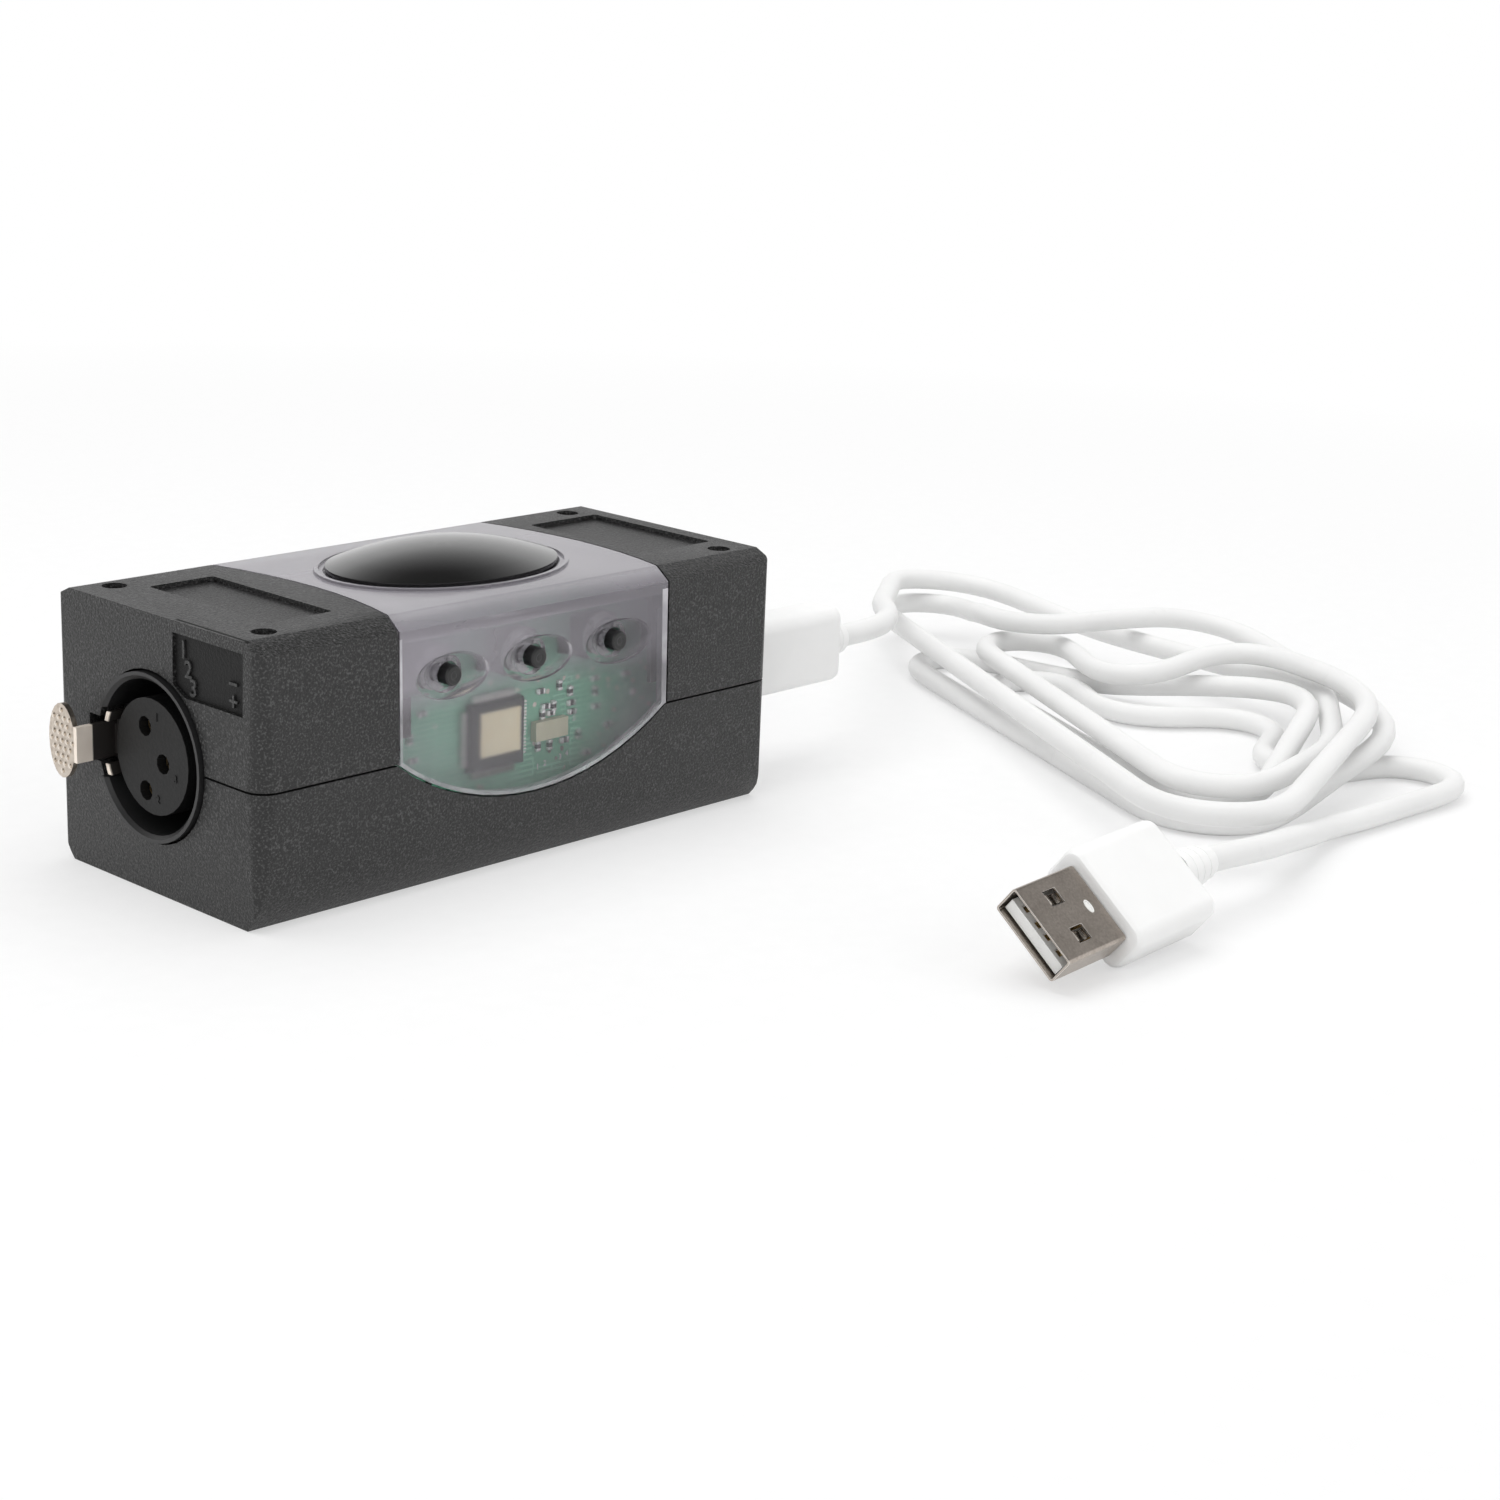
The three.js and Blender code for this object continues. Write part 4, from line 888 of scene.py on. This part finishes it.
def makeSwitchCovers():  # pressed lid on each push switch: a ring of sheet with four rivet heads
    hole, rivet = switchCovers["hole"], switchCovers["rivet"]
    bpy.ops.mesh.primitive_circle_add(vertices=switchCovers["sides"], radius=hole * mm)
    lid = bpy.context.object
    pick(lid)
    setMode("EDIT")
    bpy.ops.mesh.select_all(action="SELECT")
    bpy.ops.mesh.extrude_edges_move()
    wider = switchCovers["outer"] / hole
    bpy.ops.transform.resize(value=(wider, wider, 1))
    applyModifier(lid, "SOLIDIFY", thickness=switchCovers["thick"] * mm, offset=1)
    bpy.ops.mesh.primitive_cylinder_add(vertices=rivet["sides"], radius=rivet["radius"] * mm,
                                        depth=rivet["depth"] * mm, location=(0, 0, rivet["height"] * mm))
    head = settle(bpy.context.object)
    selectFaces(head, lambda centre, normal: normal.z > facing)
    setIn(*rivet["top"])
    setMode("OBJECT")
    at = rivet["at"] * mm
    heads = copies(head, [Matrix.Translation((x, y, 0)) for x in (-at, at) for y in (-at, at)])
    upright = Matrix.Rotation(math.pi / 2, 4, "X")
    spots = [Vector((x, switchCovers["front"], switchCovers["height"])) * mm for x in switchCovers["places"]]
    made = copies(joined([lid, heads]), [Matrix.Translation(spot) @ upright for spot in spots])
    smooth(made, switchCovers["smooth"])
    finishPiece(made, "switchCovers", "steel", "case")
    print("switch covers made")


makeSwitchCovers()

gripPips = {
    "sides": 10, "radius": 0.36, "steps": ((0.08, 0.10), (0.12, 0.07), (0.1, 0.03)), "front": -52.2,
    "middle": (14.7, 19.0), "reach": (2.45, 4.7), "pitch": (1.2, 1.06), "rows": 4, "columns": 2,
    "smooth": 40,
}


def makeGripPips():  # raised dots over the thumb tab, in staggered rows
    pip = drawnUp(gripPips)
    (midY, midZ), (wide, tall), (across, up) = gripPips["middle"], gripPips["reach"], gripPips["pitch"]
    spots = []
    for row in range(-gripPips["rows"], gripPips["rows"] + 1):
        for column in range(-gripPips["columns"], gripPips["columns"] + 1):
            y, z = (column + (row % 2) / 2) * across, row * up
            if (y / wide) ** 2 + (z / tall) ** 2 <= 1:
                spots.append(onEnd(gripPips["front"] + hair, midY + y, midZ + z))
    made = copies(pip, spots)
    smooth(made, gripPips["smooth"])
    finishPiece(made, "gripPips", "pip", "latch")
    print("pips on the tab:", len(spots))


makeGripPips()

legend = {
    "panel": {"floor": -46.93, "raised": 0.42, "size": 3.3, "weight": 0.05},
    "insert": {"face": -47.55, "raised": 0.12, "size": 1.5, "weight": 0.03},
    "rows": [("1", -6.3, 34.9), ("2", -7.3, 32.4), ("3", -8.3, 30.1),
             ("−", -16.8, 32.4), ("+", -16.8, 30.1)],
    "pins": [("1", -0.4, 24.6), ("2", -0.4, 13.3), ("3", -4.4, 17.0)],
}


def makeLegend():
    panel, insert = legend["panel"], legend["insert"]
    middle = panel["floor"] - panel["raised"] / 2
    rows = [numeral(text, panel["size"], panel["raised"], onEnd(middle, y, z), panel["weight"])
            for text, y, z in legend["rows"]]
    finishPiece(joined(rows), "pinLegend", "raised", "case")
    pins = [numeral(text, insert["size"], insert["raised"], onEnd(insert["face"], y, z), insert["weight"])
            for text, y, z in legend["pins"]]
    finishPiece(joined(pins), "insertNumbers", "insert", "case")
    print("numbers raised:", len(rows) + len(pins))


makeLegend()

inkMarks = {
    "thick": 0.02, "size": 1.15, "weight": 0.02,
    "texts": [("2", 8.3, 11.3), ("1", 6.9, 11.0), ("4", 12.6, 12.0), ("3", 11.3, 11.7), ("6", 12.3, 16.6),
              ("5", 13.9, 17.0), ("+", -12.4, 20.4), ("7", 20.6, 20.6)],
}


def makeInk():  # printed part numbers beside the small parts
    raised = Matrix.Translation((0, 0, hair * mm))
    size, thick, weight = (inkMarks[k] for k in ("size", "thick", "weight"))
    marks = [numeral(text, size, thick, faceOnBoard(x, z) @ raised, weight)
             for text, x, z in inkMarks["texts"]]
    finishPiece(joined(marks), "boardInk", "ink", "case")
    print("board ink:", len(marks))


makeInk()

plugTrim = {  # in the far plug's own millimetres, along its X from the mouth
    "springs": {"x": 3.75, "y": 2.9, "z": 1.95, "width": 1.5, "thick": 0.2, "eased": 0.04,
                "bends": ((0.5, -0.1), (0.7, -0.3), (0.7, -0.35), (0.5, 0.05), (0.4, 0.3))},
    "pip": {"place": (9.6, -0.1, 2.25), "sides": 28, "wide": 0.55, "long": 1.0, "rise": 0.09,
            "insets": ((0.16, 0.0), (0.1, -0.14))},
    "strips": {"y": (-3.5, -1.0, 1.0, 3.5), "x": 1.3, "length": 8.2, "width": 0.9, "z": -0.16, "thick": 0.12,
               "tip": (-0.35, -0.12), "eased": 0.03},
    "easedFrom": 50, "smooth": 35,
}


def easeLeaf(leaf, width):
    applyModifier(leaf, "BEVEL", width=width * mm, segments=2,
                  angle_limit=math.radians(plugTrim["easedFrom"]))


def setOnPlug(piece, name, finish):
    piece.matrix_world = Matrix.Translation(plugPlace.translation * mm) @ plugTurn
    settle(piece)
    smooth(piece, plugTrim["smooth"])
    finishPiece(piece, name, finish, "case")


def makeSprings():  # a leaf bent down into each window of the shell, with a curled tip
    spring = plugTrim["springs"]
    leaf = box((spring["thick"], spring["width"], spring["thick"]), (spring["x"], 0, spring["z"]))
    selectFaces(leaf, lambda centre, normal: normal.x > facing)
    for along, rise in spring["bends"]:
        pushOut(along, 0, rise)
    easeLeaf(leaf, spring["eased"])
    sides = [Matrix.Translation((0, y * mm, 0)) for y in (-spring["y"], spring["y"])]
    setOnPlug(copies(leaf, sides), "farPlugTrim", "nickel")


def makePlugPip():  # a raised oval on the shell's upper side
    pip = plugTrim["pip"]
    bpy.ops.mesh.primitive_circle_add(vertices=pip["sides"], radius=mm, fill_type="NGON",
                                      location=Vector(pip["place"]) * mm)
    oval = bpy.context.object
    oval.scale = (pip["wide"], pip["long"], 1)
    settle(oval)
    selectFaces(oval, lambda centre, normal: True)
    pushOut(0, 0, pip["rise"])
    for inset in pip["insets"]:
        setIn(*inset)
    setMode("OBJECT")
    setOnPlug(oval, "farPlugPip", "tongue")


def makeStrips():  # contacts on the tongue, their tips bent down at the mouth
    strip = plugTrim["strips"]
    middle = strip["x"] + strip["length"] / 2
    leaf = box((strip["length"], strip["width"], strip["thick"]), (middle, 0, strip["z"]))
    selectFaces(leaf, lambda centre, normal: normal.x < -facing)
    out, down = strip["tip"]
    pushOut(out, 0, down)
    easeLeaf(leaf, strip["eased"])
    lanes = [Matrix.Translation((0, y * mm, 0)) for y in strip["y"]]
    setOnPlug(copies(leaf, lanes), "farContacts", "gold")


makeSprings()
makePlugPip()
makeStrips()
print("plug trim made")

# camera, fitted to the box's edges in the photograph
photoView = {
    "lens": 66.98, "sensor": 36, "clip": (0.01, 20), "azimuth": -47.56, "elevation": 16.12, "roll": 2.34,
    "distance": 0.40788, "across": 0.04689, "above": 0.01089,
}


def makeCamera():
    azimuth, elevation, roll = (math.radians(photoView[k]) for k in ("azimuth", "elevation", "roll"))
    flat = math.cos(elevation)
    back = Vector((math.sin(azimuth) * flat, -math.cos(azimuth) * flat, math.sin(elevation)))
    level = Vector((0, 0, 1)).cross(back).normalized()
    raised = back.cross(level)
    right = level * math.cos(roll) + raised * math.sin(roll)
    up = raised * math.cos(roll) - level * math.sin(roll)
    data = bpy.data.cameras.new("photoCamera")
    data.lens, data.sensor_width = photoView["lens"], photoView["sensor"]
    data.clip_start, data.clip_end = photoView["clip"]
    camera = linked(bpy.data.objects.new("photoCamera", data))
    camera.matrix_world = Matrix((right, up, back)).transposed().to_4x4()
    camera.matrix_world.translation = (
        right * photoView["across"] + up * photoView["above"] + back * photoView["distance"])
    bpy.context.scene.camera = camera


makeCamera()
print("camera made")

# floor, backdrop and studio light, in metres and watts
studio = {
    "floor": {"size": 6, "drop": 0.00005, "plain": {"Roughness": 0.9, "Specular IOR Level": 0.1},
              "grain": (300, 3.0), "tones": ((0.83, 0.83, 0.83), (0.85, 0.85, 0.85)), "nearGlow": 0.5,
              "fade": (0.22, 0.5)},
    "fill": 0.55, "seen": 1.0, "overhead": 0.08, "ceiling": (0.44, 0.76),
    "lamps": {
        "topBox": {"place": (0.05, 0.10, 0.75), "aim": (0.05, -0.02, 0.0), "size": (0.9, 0.7), "power": 4.2},
        "leftBox": {"place": (-0.75, -0.25, 0.45), "aim": (0.0, 0.0, 0.02), "size": (0.5, 0.6), "power": 1.6},
        "frontBox": {"place": (0.35, -0.85, 0.5), "aim": (0.06, -0.03, 0.02), "size": (0.7, 0.5),
                     "power": 1.6},
    },
}


def makeFloor():  # paper that glows white away from the object, where the camera or a reflection sees it
    ground = studio["floor"]
    bpy.ops.mesh.primitive_plane_add(size=ground["size"], location=(0, 0, -ground["drop"]))
    floor = bpy.context.object
    floor.name = "studioFloor"
    made = Finish("floorPaper", ground["plain"])
    made.set(Base_Color=made.toned(made.noise(*ground["grain"]), *ground["tones"]))
    away = made.node("VectorMath", {"operation": "LENGTH"}, {0: made.place()}, out=1)
    glow = made.level(away, *ground["fade"], ground["nearGlow"], 1.0)
    rays = made.node("LightPath").socket.node.outputs
    seen = Wire(made, rays["Is Camera Ray"]).most(Wire(made, rays["Is Glossy Ray"]))
    lit = made.node("Emission", None, {"Color": white, "Strength": studio["seen"]})
    made.link(made.end, made.node("MixShader", None, {
        0: glow * seen, 1: Wire(made, made.shader.outputs[0]), 2: lit}))
    floor.data.materials.append(made.material)


def makeWorld():  # white where it is seen; its reflection darkens overhead, as the studio's ceiling does
    world = bpy.data.worlds.new("studioAir")
    bpy.context.scene.world = world
    world.use_nodes = True
    air = Web(world.node_tree)
    rays = air.node("LightPath").socket.node.outputs
    camera, glossy, through = (Wire(air, rays[f"Is {k} Ray"]) for k in ("Camera", "Glossy", "Transmission"))
    up = air.axes(air.node("TexCoord"))[2]
    ceiling = air.level(up, *studio["ceiling"], studio["seen"], studio["overhead"])
    plain = camera.most(through)
    strength = (plain * studio["seen"]).most(glossy * ceiling).most((1 - plain.most(glossy)) * studio["fill"])
    background = world.node_tree.nodes["Background"].inputs
    air.link(background["Color"], white)
    air.link(background["Strength"], strength)


def makeLamps():
    for name, lamp in studio["lamps"].items():
        data = bpy.data.lights.new(name, "AREA")
        data.shape, data.size, data.size_y, data.energy = "RECTANGLE", *lamp["size"], lamp["power"]
        made = linked(bpy.data.objects.new(name, data))
        made.location = lamp["place"]
        toward = Vector(lamp["aim"]) - Vector(lamp["place"])
        made.rotation_euler = toward.to_track_quat("-Z", "Y").to_euler()
        made.visible_glossy = False


makeFloor()
makeWorld()
makeLamps()
bpy.context.scene.view_settings.view_transform = "Standard"
print("studio lit")

leadLength * mm
